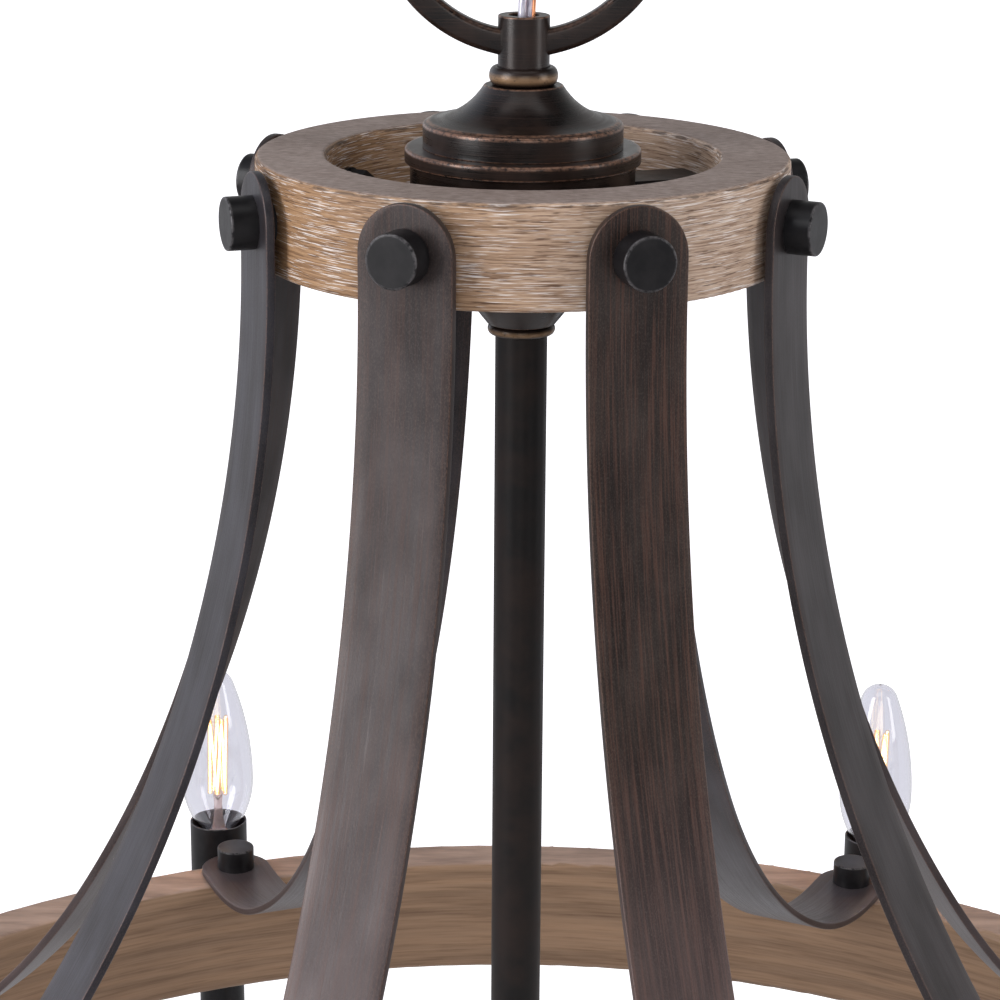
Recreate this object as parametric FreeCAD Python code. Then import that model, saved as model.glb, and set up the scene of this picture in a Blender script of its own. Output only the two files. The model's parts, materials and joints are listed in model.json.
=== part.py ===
import FreeCAD, Part
import math
import os

# Wagon wheel chandelier: two wooden rings joined by eight bell-curved flat bars, eight candle lamps
# standing outside the big ring, a turned hub with a hanging ring, and a short ceiling end.
# Millimetres, +Z up. The origin is the middle of the canopy's rim, where it meets the ceiling.
# The wheel is drawn from its own zero, the top face of the small wooden ring, and then hung.

# ---------------------------------------------------------------- driving dimensions
# Small wooden ring at the top
top_ring_diameter = 192.0
top_ring_band = 25.5  # thickness of its wood, from the outside to the bore
top_ring_height = 37.0
top_ring_round = 2.0

# Big wooden ring, the wheel
wheel_diameter = 842.0
wheel_band = 27.0
wheel_height = 60.0
wheel_round = 3.0
wheel_drop = 451.5  # from the small ring's top face down to the wheel's top face

# Flat bars from ring to ring. Each stands a little to one side of the axis, as it was hung by hand.
strap_count = 8
strap_first_angle = 22.5
strap_turn = -2.63
strap_turn_slips = (0.0, -0.7, 1.4, 0.0, 0.0, 0.0, 0.0, 0.0)  # degrees; the two bars at the back differ
strap_side_step = 4.5
strap_side_slips = (0.0, -2.0, -5.2, 0.0, 0.0, 0.0, 0.0, 0.0)
strap_width = 35.5
strap_thickness = 3.2
strap_upright = 29.0  # straight part, below the small ring's top face
strap_upper_turn = 33.0  # degrees that the long upper bend turns
strap_middle_turn = 31.0
strap_foot_radius = 180.0
strap_foot_flat = 12.0  # flat part inside the lower bolt
spacer_diameter = 18.0  # washer that keeps the bar off the small ring
spacer_thickness = 2.3
spacer_fit = 0.02  # of its hollow back round the small ring

# Bolts through the straps
bolt_head_diameter = 19.0
top_bolt_head_height = 10.0
lower_bolt_head_height = 11.6
bolt_head_chamfer = 0.7
bolt_diameter = 8.0
bolt_hole_clearance = 0.2
top_bolt_drop = 18.5
lower_bolt_depth = 45.0  # of its shank in the wheel
lower_bolt_fit = 0.05
nut_width = 13.0
nut_height = 6.5
nut_flange_diameter = 16.0
nut_flange_thickness = 1.6
nut_seat_gap = 0.1

# Hub, from the tube's top to the bowl under the small ring
hub_tube_diameter = 18.5
hub_tube_above_bead = 18.2
hub_fit = 0.05  # round the tube, for everything threaded on it
bead_diameter = 24.7
bead_height = 6.5
bead_land = 1.0  # flat ring at each end of the bead's round
bell_top_diameter = 28.0
bell_base_diameter = 72.0
bell_height = 22.4
bell_band_height = 7.7
bell_shoulder = 1.8
bell_hollow = 2.8  # how deep the bell's curve dips below a straight cone
flange_diameter = 85.0
flange_thickness = 5.2
flange_above_ring = 2.1
flange_round = 1.2
drum_diameter = 81.0
drum_height = 8.9
bowl_diameter = 58.4
bowl_band_height = 4.0
bowl_height = 46.6
bowl_foot_diameter = 24.8
bowl_bulge = 3.9
lower_bead_height = 4.0

# Cross bar that carries the small ring
cross_thickness = 4.0
cross_disc_diameter = 76.0
cross_arm_width = 20.0
cross_tab_height = 18.0
cross_tab_gap = 0.2

# Stem down to the bottom hub
stem_diameter = 19.05
stem_bore = 11.0  # of the hub tube too: one nipple joins them
joint_nipple_length = 54.0
joint_nipple_above = 24.7  # of it above the joint
joint_nipple_fit = 0.05

# Bottom hub, its cap and finial
bottom_hub_diameter = 64.0
bottom_hub_height = 30.0
bottom_hub_chamfer = 2.0
bottom_cap_height = 16.0
bottom_cap_foot_diameter = 22.0
bottom_cap_bulge = 4.0
finial_neck_diameter = 12.0
finial_neck_height = 5.0
finial_ball_diameter = 18.0
finial_stud_length = 20.0

# Tubular arms, from the bottom hub to the lamps
arm_diameter = 12.7
arm_hub_depth = 12.0
arm_elbow_radius = 26.0
arm_upright = 6.0  # straight part between its elbow and its seat
arm_seat_height = 4.0
arm_fit = 0.05
post_diameter = 10.0

# Candle lamps
cup_glass_clearance = 1.65  # between its rim and the bulb's glass
cup_wall = 1.0
cup_height = 31.4
cup_rise = 16.9  # its rim above the wheel's top face
cup_bottom_round = 3.0
cup_gap = 0.3  # between the strap's tip and the cup
candle_diameter = 24.0
candle_wall = 1.2
candle_length = 79.0
socket_diameter = 15.0
socket_recess = 8.4  # its top below the cup's rim
socket_length = 35.0
socket_bore_depth = 23.0
socket_side_clearance = 0.3
bulb_base_diameter = 11.8
bulb_base_length = 20.5
bulb_contact_diameter = 5.0
bulb_contact_height = 1.8
bulb_rest_gap = 0.3
bulb_neck_diameter = 12.6
bulb_glass_length = 93.0
bulb_glass_diameter = 37.8
bulb_belly_height = 32.0  # of the widest part above the neck
bulb_tip_radius = 9.7
bulb_wall = 0.9
bulb_stem_height = 30.0
bulb_stem_diameter = 7.0
bulb_stem_top_diameter = 3.0

# Hanging ring, welded to both sides of the hub tube
hanger_inner_diameter = 90.0
hanger_bar_thickness = 8.9
hanger_bar_depth = 8.0
hanger_bar_round = 2.0
hanger_above_bead = 3.7  # its lowest point
hanger_clearance = 0.5  # under its bar, over the link

# Chain link
link_wire = 6.0
link_width = 26.0  # between the middles of its two sides
link_straight = 30.0
link_clearance = 0.3

# Ceiling end
canopy_diameter = 127.0
canopy_height = 28.0
canopy_rim_height = 4.0
canopy_flat_diameter = 44.0
canopy_wall = 1.2
bracket_length = 105.0
bracket_width = 20.0
bracket_thickness = 2.5
bracket_slot_spacing = 88.9
bracket_slot_width = 5.0
bracket_slot_length = 9.0
nipple_diameter = 13.0
nipple_fit = 0.05
locknut_width = 19.0
locknut_height = 4.0
collar_diameter = 30.0
collar_height = 7.0
collar_round = 1.5
loop_neck_diameter = 20.0
loop_neck_above = 6.0  # of the neck, inside the canopy
loop_neck_below = 3.0  # of the neck, under the collar
loop_neck_fit = 0.05
loop_wire = 6.5
loop_diameter = 36.0  # to the middle of its wire
loop_shoulder_depth = 6.0
nipple_in_neck = 10.0

# Supply cord, two clear leads and a bare earth wire laid together
cord_diameter = 6.8
cord_bore_clearance = 0.6
cord_in_joint = 10.0  # of its lower end, inside the joint nipple
cord_top_drop = 6.0  # its upper end, below the ceiling
cord_arc_share = 0.45

# ---------------------------------------------------------------- heights that follow
bracket_bottom = -bracket_thickness
collar_bottom = -canopy_height - collar_height
neck_bottom = collar_bottom - loop_neck_below
loop_centre = neck_bottom - loop_diameter / 2
loop_bar = loop_centre - loop_diameter / 2
link_top_bar = loop_bar + loop_wire / 2 + link_clearance + link_wire / 2
link_low_bar = link_top_bar - link_width - link_straight
hanger_top = link_low_bar + link_wire / 2 + hanger_clearance
bell_top = flange_above_ring + bell_height
bead_top = bell_top + bead_height
hub_tube_rise = bead_top + hub_tube_above_bead
hanger_rise = bead_top + hanger_above_bead + hanger_bar_thickness + hanger_inner_diameter / 2
wheel_zero = hanger_top - hanger_inner_diameter / 2 - hanger_rise

flange_bottom = flange_above_ring - flange_thickness
drum_bottom = flange_bottom - drum_height
cross_bottom = drum_bottom - cross_thickness
bowl_bottom = cross_bottom - bowl_height
stem_top = bowl_bottom
strap_foot = -wheel_drop + strap_thickness
cup_rim = -wheel_drop + cup_rise
cup_floor = cup_rim - cup_height
candle_bottom = cup_floor - candle_length
socket_top = cup_rim - socket_recess
socket_bottom = socket_top - socket_length
socket_floor = socket_top - socket_bore_depth
seat_bottom = candle_bottom - arm_seat_height
arm_height = seat_bottom - arm_upright - arm_elbow_radius
stem_drop = bottom_hub_height / 2 - arm_height
nipple_bottom = -canopy_height + loop_neck_above - nipple_in_neck

# ---------------------------------------------------------------- places that follow
top_ring_bore = top_ring_diameter - 2 * top_ring_band
wheel_bore = wheel_diameter - 2 * wheel_band
hub_bore = hub_tube_diameter / 2 + hub_fit
cord_bore = cord_diameter + 2 * cord_bore_clearance
bolt_radius = bolt_diameter / 2
strap_back = top_ring_diameter / 2 + spacer_thickness
strap_face = strap_back + strap_thickness
wheel_middle = (wheel_diameter + wheel_bore) / 4
lower_bolt = math.sqrt(wheel_middle**2 - strap_side_step**2)
strap_tip = lower_bolt + strap_width / 2
glass_inset = (bulb_glass_diameter - bulb_neck_diameter) / 2
glass_low_radius = (glass_inset**2 + bulb_belly_height**2) / (2 * glass_inset)
rim_below_belly = bulb_belly_height + bulb_rest_gap - socket_recess
glass_axis_gap = bulb_glass_diameter / 2 - glass_low_radius
glass_at_rim = glass_axis_gap + math.sqrt(glass_low_radius**2 - rim_below_belly**2)
cup_diameter = 2 * (glass_at_rim + cup_glass_clearance + cup_wall)
lamp_reach = strap_tip + cup_gap + cup_diameter / 2
station_turns = [
    strap_first_angle + strap_turn + 360.0 / strap_count * k + strap_turn_slips[k] for k in range(strap_count)
]
station_sides = [strap_side_step + strap_side_slips[k] for k in range(strap_count)]

Z = FreeCAD.Vector(0, 0, 1)
Y = FreeCAD.Vector(0, 1, 0)
X = FreeCAD.Vector(1, 0, 0)


# ---------------------------------------------------------------- helpers
def at(x, y, z):
    return FreeCAD.Vector(x, y, z)


def outline(steps):
    """Closed wire in the XZ plane. A step is a point (r, z), or a pair of points for an arc."""
    first = steps[0]
    last = first
    edges = []
    for step in steps[1:]:
        middle, end = step if isinstance(step[0], tuple) else (None, step)
        if middle:
            arc = Part.Arc(at(last[0], 0, last[1]), at(middle[0], 0, middle[1]), at(end[0], 0, end[1]))
            edges.append(arc.toShape())
        else:
            edges.append(Part.makeLine(at(last[0], 0, last[1]), at(end[0], 0, end[1])))
        last = end
    if math.dist(first, last) > 1e-6:
        edges.append(Part.makeLine(at(last[0], 0, last[1]), at(first[0], 0, first[1])))
    return Part.Wire(edges)


def turned(steps):
    """The outline spun once round the Z axis."""
    return Part.Face(outline(steps)).revolve(at(0, 0, 0), Z, 360)


def disc(diameter, low, high):
    return Part.makeCylinder(diameter / 2, high - low, at(0, 0, low))


def pipe(outer, inner, low, high):
    return disc(outer, low, high).cut(disc(inner, low, high))


def bowed(start, end, bow):
    """The middle point of an arc from start to end that bows out by bow to the left of the way."""
    dx = end[0] - start[0]
    dz = end[1] - start[1]
    length = math.hypot(dx, dz)
    middle = ((start[0] + end[0]) / 2 - dz / length * bow, (start[1] + end[1]) / 2 + dx / length * bow)
    return (middle, end)


def corner(centre, radius, degrees):
    angle = math.radians(degrees)
    return (centre[0] + radius * math.cos(angle), centre[1] + radius * math.sin(angle))


def spun(shape, degrees):
    copy = shape.copy()
    copy.rotate(at(0, 0, 0), Z, degrees)
    return copy


def at_station(shape, k):
    """Moves a piece drawn on the XZ plane to strap k: to its side of the axis, then round to its turn."""
    copy = shape.copy()
    copy.translate(at(0, station_sides[k], 0))
    return spun(copy, station_turns[k])


def at_stations(shape):
    return [at_station(shape, k) for k in range(strap_count)]


def save(name, *solids):
    shape = solids[0] if len(solids) == 1 else Part.makeCompound(list(solids))
    shape.exportStep("parts/" + name + ".step")
    return shape


def save_hung(name, *solids):
    """Saves a piece of the wheel at its height under the ceiling."""
    hung = []
    for solid in solids:
        copy = solid.copy()
        copy.translate(at(0, 0, wheel_zero))
        hung.append(copy)
    return save(name, *hung)


def hexagon(width, low, high):
    """A nut's body along Z."""
    reach = width / math.sqrt(3)
    points = [at(reach * math.cos(math.radians(a)), reach * math.sin(math.radians(a)), low)
              for a in range(0, 420, 60)]
    return Part.Face(Part.makePolygon(points)).extrude(at(0, 0, high - low))


def lying_along_x(shape):
    """Turns a piece drawn along +Z so that it points along +X."""
    copy = shape.copy()
    copy.rotate(at(0, 0, 0), Y, 90)
    return copy


# ---------------------------------------------------------------- wooden rings
def rounded_ring(diameter, bore, top, height, edge):
    outer = diameter / 2
    inner = bore / 2
    low = top - height
    steps = [
        (inner + edge, top),
        (outer - edge, top),
        (corner((outer - edge, top - edge), edge, 45), (outer, top - edge)),
        (outer, low + edge),
        (corner((outer - edge, low + edge), edge, -45), (outer - edge, low)),
        (inner + edge, low),
        (corner((inner + edge, low + edge), edge, 225), (inner, low + edge)),
        (inner, top - edge),
        (corner((inner + edge, top - edge), edge, 135), (inner + edge, top)),
    ]
    return turned(steps)


def top_bolt_hole():
    return Part.makeCylinder(bolt_radius + bolt_hole_clearance, strap_face, at(0, 0, -top_bolt_drop), X)


def top_ring():
    ring = rounded_ring(top_ring_diameter, top_ring_bore, 0.0, top_ring_height, top_ring_round)
    return ring.cut(at_stations(top_bolt_hole()))


def wheel():
    ring = rounded_ring(wheel_diameter, wheel_bore, -wheel_drop, wheel_height, wheel_round)
    depth = lower_bolt_depth + lower_bolt_fit
    hole = Part.makeCylinder(bolt_radius + lower_bolt_fit, depth, at(lower_bolt, 0, -wheel_drop - depth))
    return ring.cut(at_stations(hole))


def spacers():
    """Washers between the small ring and the bars, hollowed behind to the ring's round."""
    start = at(strap_back / 2, 0, -top_bolt_drop)
    rod = Part.makeCylinder(spacer_diameter / 2, strap_back / 2, start, X)
    washers = at_stations(rod.cut(top_bolt_hole()))
    ring = disc(top_ring_diameter + 2 * spacer_fit, -top_ring_height - spacer_diameter, spacer_diameter)
    return [washer.cut(ring) for washer in washers]


# ---------------------------------------------------------------- bell-curved straps
def strap_bends():
    """Radius and turn of the three bends. The first two radii make the bar reach the wheel flat."""
    first = math.radians(strap_upper_turn)
    second = math.radians(strap_upper_turn + strap_middle_turn)
    out = lower_bolt - strap_foot_flat - strap_face - strap_foot_radius * math.cos(second)
    down = -strap_foot - strap_upright - strap_foot_radius * (1 - math.sin(second))
    a = 1 - math.cos(first)
    b = math.cos(first) - math.cos(second)
    c = math.sin(first)
    d = math.sin(second) - math.sin(first)
    upper_radius = (out * d - b * down) / (a * d - b * c)
    middle_radius = (a * down - out * c) / (a * d - b * c)
    foot_turn = 90.0 - strap_upper_turn - strap_middle_turn
    return [
        (upper_radius, strap_upper_turn),
        (middle_radius, strap_middle_turn),
        (strap_foot_radius, foot_turn),
    ]


def strap_side(depth):
    """Arcs of the bar's face, or of a surface that lies depth behind it, from the top down."""
    x = strap_face
    z = -strap_upright
    angle = 0.0
    arcs = []
    for radius, turn in strap_bends():
        centre = (x + radius * math.cos(math.radians(angle)), z + radius * math.sin(math.radians(angle)))
        points = [corner(centre, -(radius + depth), angle + turn * share) for share in (0, 0.5, 1)]
        arcs.append(points)
        x, z = corner(centre, -radius, angle + turn)
        angle += turn
    return arcs


def strap():
    """One flat bar: three tangent bends seen from the side, both ends round about their bolts."""
    half = strap_width / 2
    top = half - top_bolt_drop
    front = strap_side(0.0)
    back = strap_side(strap_thickness)
    steps = [(strap_face, top), front[0][0]]
    steps += [(points[1], points[2]) for points in front]
    steps += [(strap_tip, strap_foot), (strap_tip, strap_foot - strap_thickness), back[2][2]]
    steps += [(points[1], points[0]) for points in reversed(back)]
    steps += [(strap_back, top)]
    bar = Part.Face(outline(steps)).extrude(at(0, strap_width, 0))
    bar.translate(at(0, -half, 0))

    low = -wheel_drop - strap_thickness
    seen_from_front = Part.Wire([
        Part.makeLine(at(0, -half, low), at(0, half, low)),
        Part.makeLine(at(0, half, low), at(0, half, -top_bolt_drop)),
        Part.Arc(at(0, half, -top_bolt_drop), at(0, 0, top), at(0, -half, -top_bolt_drop)).toShape(),
        Part.makeLine(at(0, -half, -top_bolt_drop), at(0, -half, low)),
    ])
    seen_from_above = Part.Wire([
        Part.makeLine(at(0, -half, low), at(lower_bolt, -half, low)),
        Part.Arc(at(lower_bolt, -half, low), at(strap_tip, 0, low), at(lower_bolt, half, low)).toShape(),
        Part.makeLine(at(lower_bolt, half, low), at(0, half, low)),
        Part.makeLine(at(0, half, low), at(0, -half, low)),
    ])
    bar = bar.common(Part.Face(seen_from_front).extrude(at(strap_tip + strap_thickness, 0, 0)))
    bar = bar.common(Part.Face(seen_from_above).extrude(at(0, 0, wheel_drop + strap_width)))
    hole_radius = bolt_radius + bolt_hole_clearance
    hole_depth = 3 * strap_thickness
    top_start = at(strap_back - strap_thickness, 0, -top_bolt_drop)
    top_hole = Part.makeCylinder(hole_radius, hole_depth, top_start, X)
    low_hole = Part.makeCylinder(hole_radius, hole_depth, at(lower_bolt, 0, low))
    return bar.cut([top_hole, low_hole])


# ---------------------------------------------------------------- bolts and nuts
def bolt(head_height, shank_length):
    """A plain round-headed bolt along Z, its head above zero and its shank below."""
    radius = bolt_head_diameter / 2
    head = turned([
        (0, 0),
        (radius, 0),
        (radius, head_height - bolt_head_chamfer),
        (radius - bolt_head_chamfer, head_height),
        (0, head_height),
    ])
    return head.fuse(disc(bolt_diameter, -shank_length, 0)).removeSplitter()


def top_bolt(inner_end):
    piece = lying_along_x(bolt(top_bolt_head_height, strap_face - inner_end))
    piece.translate(at(strap_face, 0, -top_bolt_drop))
    return piece


def lower_bolt_piece():
    piece = bolt(lower_bolt_head_height, strap_thickness + lower_bolt_depth)
    piece.translate(at(lower_bolt, 0, strap_foot))
    return piece


def nut_seat():
    """How far out a flat flange of the nut's size fits inside the small ring."""
    edge = strap_side_step + nut_flange_diameter / 2
    return math.sqrt((top_ring_bore / 2) ** 2 - edge**2) - nut_seat_gap


def flange_nut():
    body = hexagon(nut_width, -nut_height - nut_flange_thickness, -nut_flange_thickness)
    nut = body.fuse(disc(nut_flange_diameter, -nut_flange_thickness, 0)).removeSplitter()
    nut = nut.cut(disc(bolt_diameter + 2 * lower_bolt_fit, -nut_height - nut_flange_thickness, 0))
    piece = lying_along_x(nut)
    piece.translate(at(nut_seat(), 0, -top_bolt_drop))
    return piece


# ---------------------------------------------------------------- cross bar in the small ring
def cross_tab_face():
    edge = strap_side_step + cross_arm_width / 2
    return math.sqrt((top_ring_bore / 2) ** 2 - edge**2) - cross_tab_gap


def cross_bar():
    """A round plate with four arms; their ends turn down along the ring and take a bolt each."""
    face = cross_tab_face()
    half = cross_arm_width / 2
    plate = disc(cross_disc_diameter, cross_bottom, drum_bottom)
    arm = Part.makeBox(face, cross_arm_width, cross_thickness, at(0, -half, cross_bottom))
    tab = Part.makeBox(
        cross_thickness, cross_arm_width, cross_tab_height,
        at(face - cross_thickness, -half, drum_bottom - cross_tab_height),
    )
    hole_start = at(face - cross_thickness, 0, -top_bolt_drop)
    hole = Part.makeCylinder(bolt_radius + lower_bolt_fit, cross_thickness, hole_start, X)
    piece = plate.fuse(at_stations(arm.fuse(tab))[::2]).cut(at_stations(hole)[::2])
    bore = disc(hub_tube_diameter + 2 * hub_fit, cross_bottom, drum_bottom)
    return piece.cut(bore).removeSplitter()


# ---------------------------------------------------------------- hub
def bead(inner, low, height):
    """A half-round collar that fills the step between two turned pieces."""
    outer = bead_diameter / 2
    shoulder = max(inner + bead_land, outer - height / 2)
    return turned([
        (inner, low),
        (shoulder, low),
        ((outer, low + height / 2), (shoulder, low + height)),
        (inner, low + height),
    ])


def hub_bell():
    base = bell_base_diameter / 2
    band_top = flange_above_ring + bell_band_height
    shoulder = (base - bell_shoulder, band_top + bell_shoulder)
    top = (bell_top_diameter / 2, bell_top)
    return turned([
        (hub_bore, flange_above_ring),
        (base, flange_above_ring),
        (base, band_top),
        (corner((base - bell_shoulder, band_top), bell_shoulder, 45), shoulder),
        bowed(shoulder, top, bell_hollow),
        (hub_bore, bell_top),
    ])


def flange_plate():
    outer = flange_diameter / 2
    return turned([
        (hub_bore, flange_bottom),
        (outer, flange_bottom),
        (outer, flange_above_ring - flange_round),
        (
            corner((outer - flange_round, flange_above_ring - flange_round), flange_round, 45),
            (outer - flange_round, flange_above_ring),
        ),
        (hub_bore, flange_above_ring),
    ])


def bowl():
    outer = bowl_diameter / 2
    foot = (bowl_foot_diameter / 2, bowl_bottom)
    band = (outer, cross_bottom - bowl_band_height)
    return turned([
        (hub_bore, cross_bottom),
        (hub_bore, bowl_bottom),
        foot,
        bowed(foot, band, -bowl_bulge),
        (outer, cross_bottom),
    ])


# ---------------------------------------------------------------- bottom hub
def lamp_turn(k):
    """Degrees round the axis to lamp k, for the arm that goes straight out to it."""
    return station_turns[k] + math.degrees(math.atan2(station_sides[k], lamp_reach))


def bottom_hub():
    outer = bottom_hub_diameter / 2
    high = -stem_drop + bottom_hub_height
    body = turned([
        (stem_diameter / 2 + hub_fit, -stem_drop),
        (outer - bottom_hub_chamfer, -stem_drop),
        (outer, -stem_drop + bottom_hub_chamfer),
        (outer, high - bottom_hub_chamfer),
        (outer - bottom_hub_chamfer, high),
        (stem_diameter / 2 + hub_fit, high),
    ])
    start = outer - arm_hub_depth
    hole = Part.makeCylinder(arm_diameter / 2 + arm_fit, outer, at(start, 0, arm_height), X)
    return body.cut([spun(hole, lamp_turn(k)) for k in range(strap_count)])


def bottom_cap():
    outer = bottom_hub_diameter / 2 - bottom_hub_chamfer
    low = -stem_drop - bottom_cap_height
    bore = stem_bore / 2
    foot = (bottom_cap_foot_diameter / 2, low)
    return turned([
        (bore, -stem_drop),
        (bore, low),
        foot,
        bowed(foot, (outer, -stem_drop), -bottom_cap_bulge),
    ])


def finial():
    """Stud up into the stem, neck and ball."""
    high = -stem_drop - bottom_cap_height
    neck = finial_neck_diameter / 2
    ball = finial_ball_diameter / 2
    stud = stem_bore / 2 - joint_nipple_fit
    centre = high - finial_neck_height - math.sqrt(ball**2 - neck**2)
    return turned([
        (0, -stem_drop + finial_stud_length),
        (stud, -stem_drop + finial_stud_length),
        (stud, high),
        (neck, high),
        (neck, high - finial_neck_height),
        ((ball, centre), (0, centre - ball)),
    ])


# ---------------------------------------------------------------- arms and lamps
def arm(k):
    """A tube out of the hub, round one elbow and up to the seat and post of lamp k."""
    radius = arm_diameter / 2
    lamp_radius = math.hypot(lamp_reach, station_sides[k])
    start = bottom_hub_diameter / 2 - arm_hub_depth
    bend = lamp_radius - arm_elbow_radius
    level = Part.makeCylinder(radius, bend - start, at(start, 0, arm_height), X)
    circle = Part.Face(Part.Wire(Part.makeCircle(radius, at(bend, 0, arm_height), X)))
    elbow = circle.revolve(at(bend, 0, arm_height + arm_elbow_radius), Y, -90)
    upright = Part.makeCylinder(radius, arm_upright, at(lamp_radius, 0, seat_bottom - arm_upright))
    seat = Part.makeCylinder(candle_diameter / 2, arm_seat_height, at(lamp_radius, 0, seat_bottom))
    post_height = socket_bottom - candle_bottom
    post = Part.makeCylinder(post_diameter / 2, post_height, at(lamp_radius, 0, candle_bottom))
    return spun(level.fuse([elbow, upright, seat, post]).removeSplitter(), lamp_turn(k))


def lamp_place(shape):
    """Moves a lamp piece drawn on the axis out to the end of a strap."""
    copy = shape.copy()
    copy.translate(at(lamp_reach, 0, 0))
    return copy


def cup():
    outer = cup_diameter / 2
    inner = outer - cup_wall
    hole = socket_diameter / 2 + socket_side_clearance
    edge = cup_bottom_round
    edge_centre = (outer - edge, cup_floor + edge)
    return turned([
        (hole, cup_floor),
        (outer - edge, cup_floor),
        (corner(edge_centre, edge, -45), (outer, cup_floor + edge)),
        (outer, cup_rim),
        (inner, cup_rim),
        (inner, cup_floor + edge),
        (corner(edge_centre, edge - cup_wall, -45), (outer - edge, cup_floor + cup_wall)),
        (hole, cup_floor + cup_wall),
    ])


def candle_tube():
    return pipe(candle_diameter, candle_diameter - 2 * candle_wall, candle_bottom, cup_floor)


def socket():
    bore = bulb_base_diameter + 2 * socket_side_clearance
    return disc(socket_diameter, socket_bottom, socket_top).cut(disc(bore, socket_floor, socket_top))


def glass_side(wall):
    """Neck, belly, side and tip of the bulb's glass, or of its inside when wall is more than 0."""
    neck_height = socket_top + bulb_rest_gap
    belly = (bulb_glass_diameter / 2, neck_height + bulb_belly_height)
    tip = neck_height + bulb_glass_length
    rise = bulb_glass_length - bulb_belly_height - bulb_tip_radius
    out = belly[0]
    side_radius = (out**2 + rise**2 - bulb_tip_radius**2) / (2 * (out - bulb_tip_radius))
    low_centre = (belly[0] - glass_low_radius, belly[1])
    side_centre = (belly[0] - side_radius, belly[1])
    tip_centre = (0, tip - bulb_tip_radius)
    join = math.degrees(math.atan2(tip_centre[1] - side_centre[1], -side_centre[0]))
    low_radius = glass_low_radius - wall
    low_floor = -math.degrees(math.asin((bulb_belly_height - 2 * wall) / low_radius))
    return [
        corner(low_centre, low_radius, low_floor),
        (corner(low_centre, low_radius, low_floor / 2), corner(low_centre, low_radius, 0)),
        (corner(side_centre, side_radius - wall, join / 2), corner(side_centre, side_radius - wall, join)),
        (corner(tip_centre, bulb_tip_radius - wall, (join + 90) / 2), (0, tip - wall)),
    ]


def glass_body(wall):
    side = glass_side(wall)
    return turned([(0, side[0][1])] + side)


def bulb():
    """Thin glass, its inner glass stem, and the screw base with its contact."""
    neck_height = socket_top + bulb_rest_gap
    contact_bottom = socket_floor + bulb_rest_gap
    glass = glass_body(0.0).cut(glass_body(bulb_wall))
    stem_low = neck_height + 2 * bulb_wall
    stem = turned([
        (0, stem_low),
        (bulb_stem_diameter / 2, stem_low),
        (bulb_stem_top_diameter / 2, stem_low + bulb_stem_height),
        (0, stem_low + bulb_stem_height),
    ])
    base = turned([
        (0, contact_bottom),
        (bulb_contact_diameter / 2, contact_bottom),
        (bulb_contact_diameter / 2, contact_bottom + bulb_contact_height),
        (bulb_base_diameter / 2, neck_height - bulb_base_length),
        (bulb_base_diameter / 2, neck_height),
        (0, neck_height),
    ])
    return [glass, stem, base]


# ---------------------------------------------------------------- hanging ring and link
def hanger():
    """A flattened bar bent to a ring and welded to both sides of the hub tube."""
    inner = hanger_inner_diameter / 2
    outer = inner + hanger_bar_thickness
    half = hanger_bar_depth / 2
    edge = hanger_bar_round
    corners = [(inner, half, 135), (inner, -half, 225), (outer, -half, 315), (outer, half, 45)]
    edges = []
    ends = []
    for x, y, degrees in corners:
        centre = (x + edge if x == inner else x - edge, y - edge if y > 0 else y + edge)
        points = [corner(centre, edge, degrees + turn) for turn in (-45, 0, 45)]
        edges.append(Part.Arc(*[at(p[0], p[1], hanger_rise) for p in points]).toShape())
        ends.append((points[0], points[2]))
    for k in range(4):
        start = ends[k][1]
        end = ends[(k + 1) % 4][0]
        edges.append(Part.makeLine(at(start[0], start[1], hanger_rise), at(end[0], end[1], hanger_rise)))
    section = Part.Face(Part.Wire(Part.__sortEdges__(edges)))
    ring = section.revolve(at(0, 0, hanger_rise), Y, 360)
    return ring.cut(disc(hub_tube_diameter, 0, hanger_rise))


def chain_link():
    """A round wire bent to an oval in the YZ plane."""
    half = link_width / 2
    high = link_top_bar - half
    low = link_low_bar + half
    pieces = []
    for side in (-half, half):
        pieces.append(Part.makeCylinder(link_wire / 2, high - low, at(0, side, low)))
    for centre, turn in ((high, 180), (low, -180)):
        circle = Part.Face(Part.Wire(Part.makeCircle(link_wire / 2, at(0, half, centre), Z)))
        pieces.append(circle.revolve(at(0, 0, centre), X, turn))
    return pieces[0].fuse(pieces[1:]).removeSplitter()


# ---------------------------------------------------------------- ceiling end
def canopy():
    """A shallow dish: upright rim, round shoulder and a flat middle, all of one wall."""
    rim = canopy_diameter / 2
    flat = canopy_flat_diameter / 2
    out = rim - flat
    drop = canopy_height - canopy_rim_height
    radius = (out**2 + drop**2) / (2 * drop)
    turn = math.degrees(math.asin(out / radius))
    centre = (flat, -canopy_height + radius)
    bore = loop_neck_diameter / 2 + loop_neck_fit
    inside = radius - canopy_wall
    return turned([
        (rim, 0),
        (rim, -canopy_rim_height),
        (corner(centre, radius, -90 + turn / 2), (flat, -canopy_height)),
        (bore, -canopy_height),
        (bore, -canopy_height + canopy_wall),
        (flat, -canopy_height + canopy_wall),
        (corner(centre, inside, -90 + turn / 2), corner(centre, inside, -90 + turn)),
        (rim - canopy_wall, -canopy_rim_height + canopy_wall),
        (rim - canopy_wall, 0),
    ])


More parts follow.
